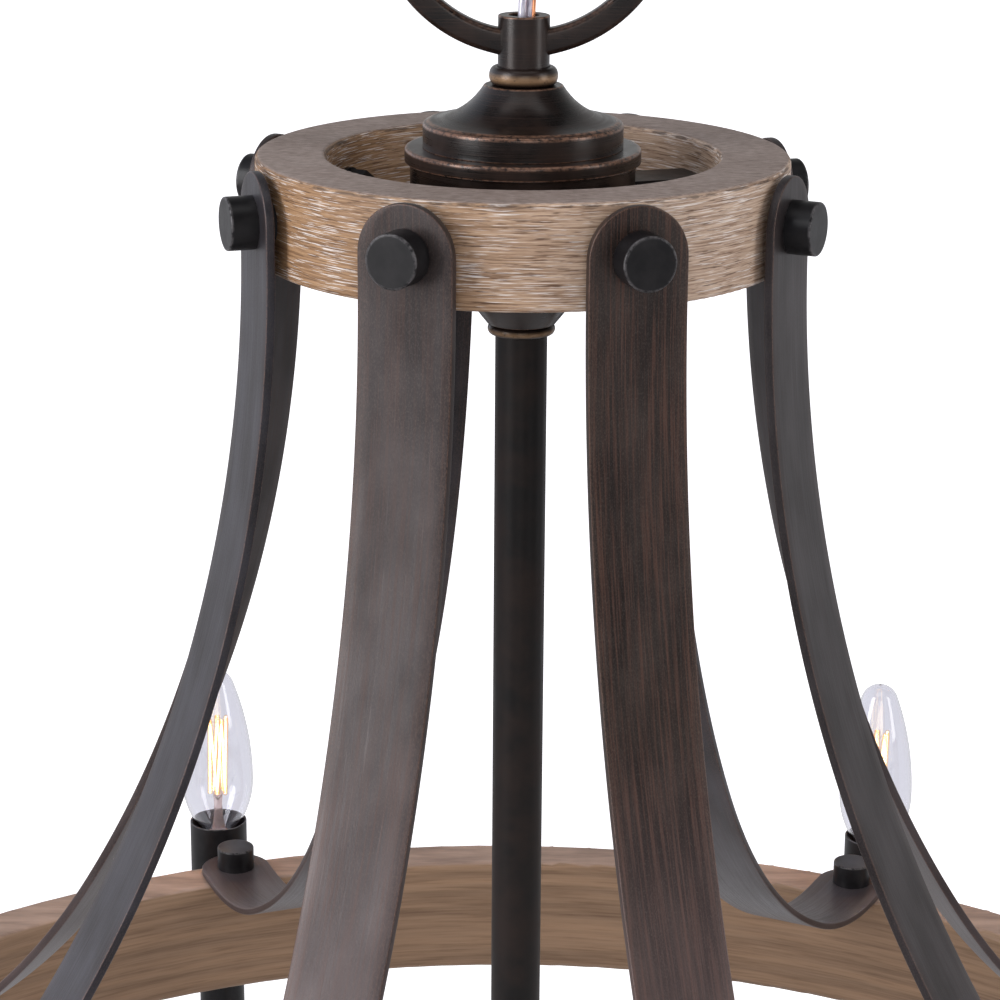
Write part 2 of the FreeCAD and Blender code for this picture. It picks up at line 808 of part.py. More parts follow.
def bracket():
    bar = Part.makeBox(
        bracket_length, bracket_width, bracket_thickness,
        at(-bracket_length / 2, -bracket_width / 2, bracket_bottom),
    )
    cuts = [disc(nipple_diameter + 2 * nipple_fit, bracket_bottom, 0)]
    run = bracket_slot_length - bracket_slot_width
    for side in (-1, 1):
        middle = side * bracket_slot_spacing / 2
        ends = [
            Part.makeCylinder(bracket_slot_width / 2, bracket_thickness, at(middle + step, 0, bracket_bottom))
            for step in (-run / 2, run / 2)
        ]
        slot = Part.makeBox(
            run, bracket_slot_width, bracket_thickness,
            at(middle - run / 2, -bracket_slot_width / 2, bracket_bottom),
        )
        cuts.append(slot.fuse(ends).removeSplitter())
    return bar.cut(cuts)


def locknut():
    low = bracket_bottom - locknut_height
    nut = hexagon(locknut_width, low, bracket_bottom)
    return nut.cut(disc(nipple_diameter + 2 * nipple_fit, low, bracket_bottom))


def collar():
    outer = collar_diameter / 2
    inner = loop_neck_diameter / 2 + loop_neck_fit
    edge = collar_round
    return turned([
        (inner, collar_bottom),
        (outer - edge, collar_bottom),
        (corner((outer - edge, collar_bottom + edge), edge, -45), (outer, collar_bottom + edge)),
        (outer, -canopy_height),
        (inner, -canopy_height),
    ])


def canopy_loop():
    """A ring of round wire under a hollow neck that the nipple and the cord go into."""
    high = -canopy_height + loop_neck_above
    ring = Part.makeTorus(loop_diameter / 2, loop_wire / 2, at(0, 0, loop_centre), Y)
    low = neck_bottom - loop_shoulder_depth
    body = ring.fuse(disc(loop_neck_diameter, low, high)).removeSplitter()
    socket_bore = disc(nipple_diameter + 2 * nipple_fit, nipple_bottom, high)
    return body.cut([socket_bore, disc(cord_bore, low - loop_wire, high)])


# ---------------------------------------------------------------- supply cord
def cord_route():
    """From the joint nipple up the hub tube, past the hanging ring and the link, to the ceiling."""
    low = wheel_zero + stem_top + joint_nipple_above - cord_in_joint
    return [
        at(0.0, 0.0, low),
        at(0.0, 0.0, wheel_zero + 62.0),
        at(7.2, 8.6, wheel_zero + 108.0),
        at(8.0, 9.5, wheel_zero + 143.0),
        at(7.7, 9.0, loop_centre - 13.0),
        at(0.0, 0.0, loop_centre + 5.0),
        at(0.0, 0.0, -cord_top_drop),
    ]


def cord():
    """Straight runs joined by tangent arcs, each as large as its two runs allow."""
    points = cord_route()
    edges = []
    last = points[0]
    radii = []
    for before, here, after in zip(points, points[1:], points[2:]):
        into = here - before
        out_of = after - here
        turn = into.getAngle(out_of)
        reach = cord_arc_share * min(into.Length, out_of.Length)
        radius = reach / math.tan(turn / 2)
        radii.append(round(radius, 1))
        start = here - into.normalize() * reach
        end = here + out_of.normalize() * reach
        inward = (out_of - into).normalize()
        middle = here + inward * (radius / math.cos(turn / 2) - radius)
        edges.append(Part.makeLine(last, start))
        edges.append(Part.Arc(start, middle, end).toShape())
        last = end
    edges.append(Part.makeLine(last, points[-1]))
    path = Part.Wire(edges)
    circle = Part.Wire(Part.makeCircle(cord_diameter / 2, points[0], Z))
    tube = path.makePipeShell([circle], True, False)
    section = math.pi * (cord_diameter / 2) ** 2
    print("cord radii", radii, "length", round(path.Length, 1))
    print("cord volume over section times length", round(tube.Volume / (section * path.Length), 4))
    return tube


# ---------------------------------------------------------------- ceiling end, saved
os.makedirs("parts", exist_ok=True)
save("ceiling_bracket", bracket())
save("bracket_locknut", locknut())
save("canopy_nipple", pipe(nipple_diameter, cord_bore, nipple_bottom, 0))
save("canopy", canopy())
save("canopy_collar", collar())
save("canopy_loop", canopy_loop())
save("chain_link", chain_link())
save("supply_cord", cord())

# ---------------------------------------------------------------- hub and stem, saved
save_hung("hanging_ring", hanger())
save_hung("hub_tube", pipe(hub_tube_diameter, stem_bore, bowl_bottom, hub_tube_rise))
save_hung(
    "bead_collars",
    bead(hub_bore, bell_top, bead_height),
    bead(stem_diameter / 2 + hub_fit, stem_top - lower_bead_height, lower_bead_height),
)
save_hung("hub_bell", hub_bell())
save_hung("flange_plate", flange_plate())
save_hung("hub_drum", pipe(drum_diameter, 2 * hub_bore, drum_bottom, flange_bottom))
save_hung("cross_bar", cross_bar())
save_hung("under_bowl", bowl())
joint_top = stem_top + joint_nipple_above
joint_diameter = stem_bore - 2 * joint_nipple_fit
save_hung("joint_nipple", pipe(joint_diameter, cord_bore, joint_top - joint_nipple_length, joint_top))
save_hung("stem", pipe(stem_diameter, stem_bore, -stem_drop, stem_top))
save_hung("bottom_hub", bottom_hub())
save_hung("bottom_cap", bottom_cap())
save_hung("finial", finial())

# ---------------------------------------------------------------- rings and fasteners, saved
save_hung("top_wood_ring", top_ring())
save_hung("wheel_wood_ring", wheel())
tab_inner_face = cross_tab_face() - cross_thickness
nut_inner_face = nut_seat() - nut_flange_thickness - nut_height
top_bolts = [
    at_station(top_bolt(nut_inner_face if k % 2 else tab_inner_face), k) for k in range(strap_count)
]
save_hung("strap_spacers", *spacers())
save_hung("top_strap_bolts", *top_bolts)
save_hung("wheel_strap_bolts", *at_stations(lower_bolt_piece()))
save_hung("flange_nuts", *at_stations(flange_nut())[1::2])

# ---------------------------------------------------------------- straps, arms and lamps, saved
one_strap = strap()
one_cup = lamp_place(cup())
one_bulb = [lamp_place(solid) for solid in bulb()]
for k in range(strap_count):
    save_hung(f"strap_{k + 1}", at_station(one_strap, k))
    save_hung(f"arm_{k + 1}", arm(k))
    save_hung(f"lamp_cup_{k + 1}", at_station(one_cup, k))
    save_hung(f"bulb_{k + 1}", *[at_station(solid, k) for solid in one_bulb])
save_hung("candle_tubes", *at_stations(lamp_place(candle_tube())))
save_hung("lamp_sockets", *at_stations(lamp_place(socket())))
print("small ring's top face below the ceiling", round(-wheel_zero, 2))
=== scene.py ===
# %% [markdown]
# # Wagon wheel chandelier
# A small limed-oak ring and a big oak wheel are joined by eight bell-curved flat bars, and eight
# candle lamps stand round the wheel. The construction comes ready made as a fixed frame, with every
# piece at its real size and place. This file gives each piece its finished surface and its fine edges,
# so all it reads is the frame, and nothing here moves or resizes a part of it.

import json
import math

import bpy
from mathutils import Matrix, Vector

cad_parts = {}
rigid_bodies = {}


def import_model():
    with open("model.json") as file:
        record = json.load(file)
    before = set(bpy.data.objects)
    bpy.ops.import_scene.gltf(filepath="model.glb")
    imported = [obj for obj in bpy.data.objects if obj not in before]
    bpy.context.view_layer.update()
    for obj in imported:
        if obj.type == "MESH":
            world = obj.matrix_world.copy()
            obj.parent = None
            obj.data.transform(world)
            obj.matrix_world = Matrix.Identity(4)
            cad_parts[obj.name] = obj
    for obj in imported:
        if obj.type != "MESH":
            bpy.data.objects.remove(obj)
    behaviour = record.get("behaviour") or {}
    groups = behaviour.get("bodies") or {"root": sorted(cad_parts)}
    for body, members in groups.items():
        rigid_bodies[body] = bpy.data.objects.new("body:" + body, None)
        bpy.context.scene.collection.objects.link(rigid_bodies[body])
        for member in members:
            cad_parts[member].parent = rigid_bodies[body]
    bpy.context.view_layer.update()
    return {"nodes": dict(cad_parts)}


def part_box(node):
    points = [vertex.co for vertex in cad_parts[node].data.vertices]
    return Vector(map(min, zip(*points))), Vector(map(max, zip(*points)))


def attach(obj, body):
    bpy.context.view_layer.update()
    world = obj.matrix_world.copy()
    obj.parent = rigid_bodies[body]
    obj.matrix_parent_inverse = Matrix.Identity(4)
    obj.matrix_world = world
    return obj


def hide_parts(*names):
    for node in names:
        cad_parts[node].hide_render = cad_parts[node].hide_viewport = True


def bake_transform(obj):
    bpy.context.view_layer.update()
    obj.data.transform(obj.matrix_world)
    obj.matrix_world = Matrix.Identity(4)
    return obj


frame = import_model()
mm = 0.001

# %% [markdown]
# ## Places
# The wheel hangs under the ceiling fitting. Its own zero is the top face of the small ring, so every
# height below is measured from there in millimetres. The eight bars stand about every 45 degrees, each
# a little to one side of the axis, and the two at the back were hung a little differently.

# %% Places that later pieces use
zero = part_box("top_wood_ring")[1].z
wheel_top = (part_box("wheel_wood_ring")[1].z - zero) / mm
station_count = 8
turn_slips = (0.0, -0.7, 1.4, 0.0, 0.0, 0.0, 0.0, 0.0)
side_slips = (0.0, -2.0, -5.2, 0.0, 0.0, 0.0, 0.0, 0.0)
station_turns = [math.radians(19.87 + 360 / station_count * k + turn_slips[k]) for k in range(station_count)]
station_sides = [4.5 + side_slips[k] for k in range(station_count)]


def station(k):
    """Takes a piece drawn on the XZ plane, in metres, to bar k."""
    return Matrix.Rotation(station_turns[k], 4, "Z") @ Matrix.Translation((0, station_sides[k] * mm, 0))


print("zero", round(zero, 5), "wheel top", round(wheel_top, 2))

# %% [markdown]
# ## Camera
# The picture was taken from a little above, a metre in front of the small ring, with a long lens. A
# long lens keeps the bars nearly parallel. The place, tilt and roll were worked out from the ellipses
# of the two rings, so they are written here as real distances and angles.

# %% Camera
camera_place = Vector((-1.5 * mm, -1048.7 * mm, zero + 186.6 * mm))
camera_pitch = math.radians(16.822)
camera_yaw = math.radians(-0.32)
camera_roll = math.radians(0.397)
camera_data = bpy.data.cameras.new("camera")
camera_data.sensor_width = 36.0
camera_data.lens = 106.11
camera_data.clip_start = 0.02
camera = bpy.data.objects.new("camera", camera_data)
bpy.context.scene.collection.objects.link(camera)
turn = (
    Matrix.Rotation(-camera_yaw, 4, "Z")
    @ Matrix.Rotation(math.pi / 2 - camera_pitch, 4, "X")
    @ Matrix.Rotation(camera_roll, 4, "Z")
)
camera.matrix_world = Matrix.Translation(camera_place) @ turn
bpy.context.scene.camera = camera
print("camera at", [round(v, 4) for v in camera_place])

# %% [markdown]
# ## Tools for shapes
# Nearly everything on this light is turned on a lathe or bent from bar. A turned piece is a list of
# corners, each with the small rounding that a real edge has. The rounded stretch carries a wear value,
# because handling rubs the dark finish off the edges first. Flat stretches get a point close to each
# rounding, so their shading stays flat.

# %% Helpers for shapes
def softened(corners):
    """Points (radius, height, wear) of a closed outline of corners (radius, height, rounding)."""
    points = []
    count = len(corners)
    for i, (r, z, rounding) in enumerate(corners):
        here = Vector((r, z))
        back = Vector(corners[i - 1][:2]) - here
        ahead = Vector(corners[(i + 1) % count][:2]) - here
        if rounding == 0 and back.angle(ahead) > math.radians(140):
            points.append((r, z, 0.0))
            continue
        plain = rounding == 0
        rounding = rounding or 0.12
        reach = min(rounding, 0.45 * back.length, 0.45 * ahead.length)
        start = here + back.normalized() * reach
        end = here + ahead.normalized() * reach
        before = here + back.normalized() * min(1.35 * reach, 0.49 * back.length)
        after = here + ahead.normalized() * min(1.35 * reach, 0.49 * ahead.length)
        points.append((before.x, before.y, 0.0))
        for step in range(6):
            t = step / 5
            p = start * (1 - t) ** 2 + here * 2 * t * (1 - t) + end * t**2
            points.append((p.x, p.y, 0.0 if plain else math.sin(math.pi * (0.15 + 0.7 * t))))
        points.append((after.x, after.y, 0.0))
    return points


def bowed(start, end, bow, count=10):
    """Corners with no rounding along an arc that bows out to the left of the way."""
    a = Vector(start)
    b = Vector(end)
    side = Vector((-(b - a).y, (b - a).x)).normalized()
    return [
        (*(a.lerp(b, t / count) + side * bow * 4 * (t / count) * (1 - t / count)), 0)
        for t in range(1, count)
    ]


def mesh_object(name, points, faces, worn=None):
    """A mesh piece from points in millimetres, measured from the wheel's zero."""
    mesh = bpy.data.meshes.new(name)
    mesh.from_pydata([(x * mm, y * mm, z * mm + zero) for x, y, z in points], [], faces)
    mesh.validate()
    mesh.polygons.foreach_set("use_smooth", [True] * len(mesh.polygons))
    if worn is not None:
        mesh.attributes.new("worn", "FLOAT", "POINT").data.foreach_set("value", worn)
    piece = bpy.data.objects.new(name, mesh)
    bpy.context.scene.collection.objects.link(piece)
    return piece


def spun_points(outline, steps):
    """Points, faces and wear of an outline spun round the Z axis, with its faces looking outward."""
    rows = len(outline)
    area = sum(outline[i - 1][0] * outline[i][1] - outline[i][0] * outline[i - 1][1] for i in range(rows))
    outline = outline[::-1] if area > 0 else outline
    points = []
    worn = []
    for j in range(steps):
        angle = math.tau * j / steps
        for r, z, wear in outline:
            points.append((r * math.cos(angle), r * math.sin(angle), z))
            worn.append(wear)
    faces = []
    for j in range(steps):
        here = j * rows
        there = (j + 1) % steps * rows
        for i in range(rows):
            k = (i + 1) % rows
            faces.append((here + i, here + k, there + k, there + i))
    return points, faces, worn


def turned(name, corners, steps=128):
    return mesh_object(name, *spun_points(softened(corners), steps))


def tube_points(path, radius, sides, offset=(0.0, 0.0)):
    """A closed tube along a path. The offset shifts it sideways and keeps to that side all the way."""
    points = []
    faces = []
    last = len(path) - 1
    for i, p in enumerate(path):
        tangent = (path[min(i + 1, last)] - path[max(i - 1, 0)]).normalized()
        side = (Vector((1, 0, 0)) - tangent * tangent.x).normalized()
        up = tangent.cross(side)
        centre = p + side * offset[0] + up * offset[1]
        for j in range(sides):
            angle = math.tau * j / sides
            points.append(centre + side * radius * math.cos(angle) + up * radius * math.sin(angle))
    for i in range(last):
        for j in range(sides):
            k = (j + 1) % sides
            faces.append((i * sides + j, i * sides + k, (i + 1) * sides + k, (i + 1) * sides + j))
    faces.append(tuple(range(sides - 1, -1, -1)))
    faces.append(tuple(last * sides + j for j in range(sides)))
    return points, faces


def finished(piece, body, nodes, material):
    """Says what a new piece rides on, stands for and is made of."""
    piece.data.materials.append(material)
    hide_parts(*nodes)
    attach(piece, body)
    return piece


def repeated(piece, name, place):
    """A copy that shares the mesh, at another place."""
    copy = bpy.data.objects.new(name, piece.data)
    copy.matrix_world = place
    bpy.context.scene.collection.objects.link(copy)
    return copy


print("helpers for shapes ready")

# %% [markdown]
# ## Tools for finishes
# Each finish is worked out from a place on the piece: its object coordinates in millimetres, or the
# place along and across a bar. Noise stretched along one direction gives grain, brushing and wear.

# %% Helpers for finishes
def finish(name):
    """A new material with one surface shader, and its tree."""
    material = bpy.data.materials.new(name)
    material.use_nodes = True
    return material, material.node_tree, material.node_tree.nodes["Principled BSDF"]


def node(tree, kind, inputs=(), **settings):
    made = tree.nodes.new(kind)
    for key, value in settings.items():
        setattr(made, key, value)
    for key, value in dict(inputs).items():
        socket = made.inputs[key]
        if isinstance(value, bpy.types.NodeSocket):
            tree.links.new(value, socket)
        else:
            socket.default_value = value
    return made


def place_mm(tree, scale, shift=(0.0, 0.0, 0.0), turn=0.0):
    """Object coordinates in millimetres, stretched by scale."""
    source = node(tree, "ShaderNodeTexCoord").outputs["Object"]
    inputs = {"Vector": source, "Scale": [s / mm for s in scale], "Location": shift, "Rotation": (0, 0, turn)}
    return node(tree, "ShaderNodeMapping", inputs).outputs[0]


def noise(tree, vector, scale=1.0, detail=3.0, roughness=0.55):
    inputs = {"Vector": vector, "Scale": scale, "Detail": detail, "Roughness": roughness}
    return node(tree, "ShaderNodeTexNoise", inputs).outputs[0]


def span(tree, value, low, high, to_low=0.0, to_high=1.0):
    """The value as a share between two limits, held at the ends."""
    inputs = {"Value": value, "From Min": low, "From Max": high, "To Min": to_low, "To Max": to_high}
    return node(tree, "ShaderNodeMapRange", inputs).outputs[0]


def mixed(tree, share, first, second, blend="MIX"):
    made = node(tree, "ShaderNodeMix", data_type="RGBA", blend_type=blend)
    for key, value in ((0, share), (6, first), (7, second)):
        if isinstance(value, bpy.types.NodeSocket):
            tree.links.new(value, made.inputs[key])
        else:
            made.inputs[key].default_value = value if key == 0 else (*value, 1.0)
    return made.outputs[2]


def sum_of(tree, first, second, operation="ADD"):
    return node(tree, "ShaderNodeMath", {0: first, 1: second}, operation=operation).outputs[0]


def bumped(tree, height, distance, strength=1.0):
    """A surface normal with the height's relief, its full depth in millimetres."""
    inputs = {"Height": height, "Distance": distance * mm, "Strength": strength}
    return node(tree, "ShaderNodeBump", inputs).outputs[0]


def attribute(tree, name):
    return node(tree, "ShaderNodeAttribute", attribute_name=name).outputs["Fac"]


def set_surface(tree, shader, **values):
    names = {
        "colour": "Base Color", "metal": "Metallic", "rough": "Roughness", "normal": "Normal",
        "coat": "Coat Weight", "coat_rough": "Coat Roughness", "specular": "Specular IOR Level",
        "clear": "Transmission Weight", "ior": "IOR",
        "glow": "Emission Color", "glow_strength": "Emission Strength",
    }
    for key, value in values.items():
        socket = shader.inputs[names[key]]
        if isinstance(value, bpy.types.NodeSocket):
            tree.links.new(value, socket)
        elif key in ("colour", "glow"):
            socket.default_value = (*value, 1.0)
        else:
            socket.default_value = value


print("helpers for finishes ready")

# %% [markdown]
# ## Limed oak of the small ring
# The side of the ring is open-grained oak. Its pores run round the ring as short dashes, and white lime
# was rubbed into them, so the dashes are white on tan, with a few dark ones left. The left part is golden
# and the right part paler. The top face was sanded across: grey-brown, with fine slanted strokes.

# %% Limed oak
def limed_oak():
    material, tree, shader = finish("limed_oak")
    across = node(tree, "ShaderNodeSeparateXYZ", {0: place_mm(tree, (1, 1, 1))}).outputs
    drift = noise(tree, place_mm(tree, (0.014, 0.014, 0.03), (3.0, 1.0, 0.0)), 1.0, 2.0)
    pale = span(tree, sum_of(tree, across[0], sum_of(tree, drift, 120.0, "MULTIPLY")), 5.0, 110.0)
    grain = noise(tree, place_mm(tree, (0.05, 0.05, 1.3)), 1.0, 5.0, 0.62)
    tan = mixed(tree, pale, (0.36, 0.215, 0.115), (0.51, 0.38, 0.29))
    brown = mixed(tree, pale, (0.17, 0.088, 0.042), (0.26, 0.165, 0.110))
    side = mixed(tree, span(tree, grain, 0.36, 0.6), brown, tan)
    pores = noise(tree, place_mm(tree, (0.12, 0.12, 2.4), (7.0, 2.0, 5.0)), 1.0, 2.5, 0.5)
    side = mixed(tree, span(tree, pores, 0.56, 0.66, 0.0, 0.85), side, (0.085, 0.042, 0.024))
    lime = noise(tree, place_mm(tree, (0.085, 0.085, 2.9)), 1.0, 2.5, 0.55)
    patches = noise(tree, place_mm(tree, (0.05, 0.05, 0.08), (2.0, 9.0, 1.0)), 1.0, 2.0)
    limed = span(tree, sum_of(tree, lime, sum_of(tree, patches, 0.22, "MULTIPLY")), 0.690, 0.755, 0.0, 0.85)
    side = mixed(tree, limed, side, (0.72, 0.66, 0.63))
    wide = noise(tree, place_mm(tree, (0.012, 0.012, 0.02)), 1.0, 3.0)
    top = mixed(tree, span(tree, wide, 0.35, 0.65), (0.165, 0.120, 0.100), (0.225, 0.172, 0.150))
    strokes = noise(tree, place_mm(tree, (0.32, 2.4, 1.0), turn=math.radians(-38)), 1.0, 2.0, 0.6)
    top = mixed(tree, span(tree, strokes, 0.46, 0.66, 0.0, 0.6), top, (0.36, 0.30, 0.275))
    top = mixed(tree, span(tree, strokes, 0.5, 0.32, 0.0, 0.65), top, (0.085, 0.060, 0.050))
    facing = node(tree, "ShaderNodeSeparateXYZ", {0: node(tree, "ShaderNodeTexCoord").outputs["Normal"]})
    is_top = span(tree, facing.outputs[2], 0.72, 0.93)
    edge = noise(tree, place_mm(tree, (0.14, 0.14, 0.6), (4.0, 4.0, 0.0)), 1.0, 3.0, 0.6)
    slanted = sum_of(
        tree, span(tree, facing.outputs[2], 0.1, 0.35), span(tree, facing.outputs[2], 0.9, 0.6), "MULTIPLY",
    )
    dark_edge = sum_of(tree, slanted, span(tree, edge, 0.44, 0.58), "MULTIPLY")
    colour = mixed(tree, is_top, side, top)
    colour = mixed(tree, sum_of(tree, dark_edge, 0.75, "MULTIPLY"), colour, (0.05, 0.03, 0.022))
    side_relief = sum_of(tree, limed, sum_of(tree, grain, 0.6, "MULTIPLY"), "SUBTRACT")
    relief = mixed(tree, is_top, side_relief, strokes)
    set_surface(
        tree, shader, colour=colour, rough=span(tree, grain, 0.3, 0.7, 0.62, 0.5), specular=0.35,
        normal=bumped(tree, relief, 0.12, 0.5),
    )
    return material


limed_finish = limed_oak()
print("material", limed_finish.name)

# %% [markdown]
# ## Brown oak of the wheel
# The wheel is smoother: a medium brown stain over long soft grain that runs round it. Its top face is a
# little pinker and greyer than its sides.

# %% Brown oak
def brown_oak():
    material, tree, shader = finish("brown_oak")
    grain = noise(tree, place_mm(tree, (0.006, 0.006, 0.16)), 1.0, 5.0, 0.6)
    fine = noise(tree, place_mm(tree, (0.03, 0.03, 0.9), (5.0, 2.0, 0.0)), 1.0, 4.0, 0.6)
    side = mixed(tree, span(tree, grain, 0.34, 0.66), (0.150, 0.090, 0.053), (0.265, 0.163, 0.098))
    side = mixed(tree, span(tree, fine, 0.4, 0.7, 0.0, 0.45), side, (0.30, 0.20, 0.135))
    side = mixed(tree, span(tree, fine, 0.45, 0.28, 0.0, 0.45), side, (0.095, 0.055, 0.034))
    top_grain = noise(tree, place_mm(tree, (0.02, 0.11, 0.1), turn=math.radians(12)), 1.0, 4.0, 0.6)
    top = mixed(tree, span(tree, top_grain, 0.35, 0.65), (0.20, 0.135, 0.105), (0.36, 0.25, 0.195))
    facing = node(tree, "ShaderNodeSeparateXYZ", {0: node(tree, "ShaderNodeTexCoord").outputs["Normal"]})
    colour = mixed(tree, span(tree, facing.outputs[2], 0.6, 0.92), side, top)
    set_surface(
        tree, shader, colour=colour, rough=span(tree, fine, 0.3, 0.7, 0.5, 0.4), specular=0.35,
        normal=bumped(tree, sum_of(tree, grain, fine), 0.1, 0.35),
    )
    return material


wheel_finish = brown_oak()
for name, material in (("top_wood_ring", limed_finish), ("wheel_wood_ring", wheel_finish)):
    frame["nodes"][name].data.materials.clear()
    frame["nodes"][name].data.materials.append(material)
print("wood on", "top_wood_ring", "wheel_wood_ring")

# %% [markdown]
# ## Dark bronze of the bars
# The flat bars were brushed along their length and darkened. The brushing must follow the bends, so it
# uses the place along and across each bar, which the bar's mesh carries. Copper shows in streaks on some
# bars, and the rubbed edges are brighter. On the coppery bars the lower bend is painted paler, a painted
# sheen for the top light that this upward-facing part reflects.

# %% Bronze of the bars
def strap_bronze():
    material, tree, shader = finish("strap_bronze")
    along = attribute(tree, "along")
    across = attribute(tree, "across")
    bar = attribute(tree, "bar")
    # the copper attribute sets each bar's copper streaks and also the strength of its painted sheen low down
    copper_and_sheen_share = attribute(tree, "copper")
    slate_share = attribute(tree, "slate")

    def bar_place(along_scale, across_scale, shift):
        inputs = {
            0: sum_of(tree, along, along_scale, "MULTIPLY"),
            1: sum_of(tree, across, across_scale, "MULTIPLY"),
            2: sum_of(tree, sum_of(tree, bar, 7.3, "MULTIPLY"), shift),
        }
        return node(tree, "ShaderNodeCombineXYZ", inputs).outputs[0]

    streaks = noise(tree, bar_place(0.022, 1.1, 0.0), 1.0, 4.0, 0.65)
    speckle = noise(tree, bar_place(1.3, 2.2, 3.0), 1.0, 3.0, 0.7)
    clouds = noise(tree, bar_place(0.03, 0.06, 5.0), 1.0, 3.0, 0.5)
    scratch = noise(tree, bar_place(0.03, 3.0, 9.0), 1.0, 1.0, 0.5)
    base = mixed(tree, slate_share, (0.042, 0.031, 0.027), (0.046, 0.045, 0.055))
    dark = mixed(tree, slate_share, (0.017, 0.011, 0.0095), (0.022, 0.020, 0.024))
    colour = mixed(tree, span(tree, clouds, 0.36, 0.64), dark, base)
    copper = sum_of(tree, span(tree, streaks, 0.46, 0.66), copper_and_sheen_share, "MULTIPLY")
    colour = mixed(tree, sum_of(tree, copper, 0.75, "MULTIPLY"), colour, (0.105, 0.048, 0.033))
    colour = mixed(tree, span(tree, speckle, 0.50, 0.72, 0.0, 0.45), colour, (0.100, 0.076, 0.068))
    colour = mixed(tree, span(tree, speckle, 0.42, 0.26, 0.0, 0.6), colour, (0.009, 0.0065, 0.006))
    worn = sum_of(tree, attribute(tree, "worn"), span(tree, speckle, 0.36, 0.62), "MULTIPLY")
    colour = mixed(tree, sum_of(tree, worn, 0.5, "MULTIPLY"), colour, (0.20, 0.105, 0.070))
    fine = span(tree, scratch, 0.7, 0.78, 0.0, 0.18)
    colour = mixed(tree, fine, colour, (0.22, 0.18, 0.17))
    # painted sheen: the lower bend, scaled by the bar's copper share, is painted pale pinkish grey for the
    # top light it reflects
    painted_low_sheen = sum_of(tree, span(tree, along, 180.0, 560.0), copper_and_sheen_share, "MULTIPLY")
    colour = mixed(tree, painted_low_sheen, colour, (0.27, 0.195, 0.195))
    set_surface(
        tree, shader, colour=colour, metal=0.45, specular=0.5,
        rough=span(tree, sum_of(tree, streaks, speckle), 0.8, 1.25, 0.34, 0.50),
        normal=bumped(tree, sum_of(tree, streaks, speckle), 0.05, 0.35),
    )
    return material


bar_finish = strap_bronze()
print("material", bar_finish.name)

# %% [markdown]
# ## Turned bronze of the hub and the tube of the stem
# The hub was oiled and rubbed while it turned, so its marks run round it. It is nearly black, with brown
# clouds, and copper along its edges. The stem is one long glossy tube of the same brown.

# %% Bronze of the hub, stem and ring
def hub_bronze(
    name, gloss, copper_edge, copper=(0.24, 0.125, 0.08), scales=(0.02, 2.2), flecks=0.36, relief=0.4,
):
    """Dark turned bronze. The scales say how fine the marks are round the piece and along its axis."""
    material, tree, shader = finish(name)
    marks = noise(tree, place_mm(tree, (scales[0], scales[0], scales[1])), 1.0, 3.0, 0.6)
    clouds = noise(tree, place_mm(tree, (0.06, 0.06, 0.07), (3.0, 0.0, 0.0)), 1.0, 3.0, 0.55)
    fleck = noise(tree, place_mm(tree, (0.6, 0.6, 0.9), (1.0, 5.0, 0.0)), 1.0, 3.0, 0.65)
    colour = mixed(tree, span(tree, clouds, 0.35, 0.68), (0.0058, 0.0040, 0.0038), (0.022, 0.0115, 0.0085))
    colour = mixed(tree, span(tree, marks, 0.56, 0.72, 0.0, 0.35), colour, (0.060, 0.031, 0.022))
    worn = sum_of(tree, attribute(tree, "worn"), span(tree, fleck, flecks, flecks + 0.22), "MULTIPLY")
    colour = mixed(tree, sum_of(tree, worn, copper_edge, "MULTIPLY"), colour, copper)
    set_surface(
        tree, shader, colour=colour, metal=0.35, specular=0.4, coat=0.2, coat_rough=gloss,
        rough=span(tree, sum_of(tree, marks, clouds), 0.8, 1.2, gloss, gloss + 0.16),
        normal=bumped(tree, marks, 0.03, relief),
    )
    return material


hub_finish = hub_bronze("hub_bronze", 0.24, 0.75)
bead_finish = hub_bronze("bead_bronze", 0.26, 1.0, (0.30, 0.18, 0.095), (0.02, 2.2), 0.22)
stem_finish = hub_bronze("stem_bronze", 0.44, 0.5, scales=(0.05, 0.004), relief=0.0)
print("materials", hub_finish.name, bead_finish.name, stem_finish.name)

# %% [markdown]
# ## Black steel, zinc, amber insulator and brass
# Bolts and cups are satin black enamel, rubbed thin and bright along the rims. The nuts, nipples and
# bracket are plain zinc. The sockets have an amber insulator, which shows inside each cup.

# %% Small finishes
def black_steel():
    material, tree, shader = finish("black_steel")
    haze = noise(tree, place_mm(tree, (0.12, 0.12, 0.12)), 1.0, 4.0, 0.6)
    fleck = noise(tree, place_mm(tree, (0.5, 0.5, 0.5), (2.0, 2.0, 2.0)), 1.0, 3.0, 0.6)
    colour = mixed(tree, span(tree, haze, 0.35, 0.7), (0.0065, 0.006, 0.007), (0.015, 0.0135, 0.0145))
    worn = sum_of(tree, attribute(tree, "worn"), span(tree, fleck, 0.38, 0.6), "MULTIPLY")
    colour = mixed(tree, sum_of(tree, worn, 0.5, "MULTIPLY"), colour, (0.16, 0.15, 0.155))
    set_surface(
        tree, shader, colour=colour, metal=0.2, specular=0.3, rough=span(tree, haze, 0.3, 0.7, 0.30, 0.44),
        normal=bumped(tree, haze, 0.03, 0.25),
    )
    return material


def plain_metal(name, colour, rough):
    material, tree, shader = finish(name)
    haze = noise(tree, place_mm(tree, (0.3, 0.3, 0.3)), 1.0, 3.0)
    tint = mixed(tree, span(tree, haze, 0.3, 0.7), [c * 0.8 for c in colour], colour)
    set_surface(tree, shader, colour=tint, metal=1.0, rough=span(tree, haze, 0.3, 0.7, rough, rough + 0.12))
    return material


def amber_insulator():
    material, tree, shader = finish("amber_insulator")
    haze = noise(tree, place_mm(tree, (0.4, 0.4, 0.4)), 1.0, 3.0)
    tint = mixed(tree, span(tree, haze, 0.3, 0.7), (0.42, 0.20, 0.045), (0.62, 0.33, 0.09))
    set_surface(tree, shader, colour=tint, rough=0.5)
    return material


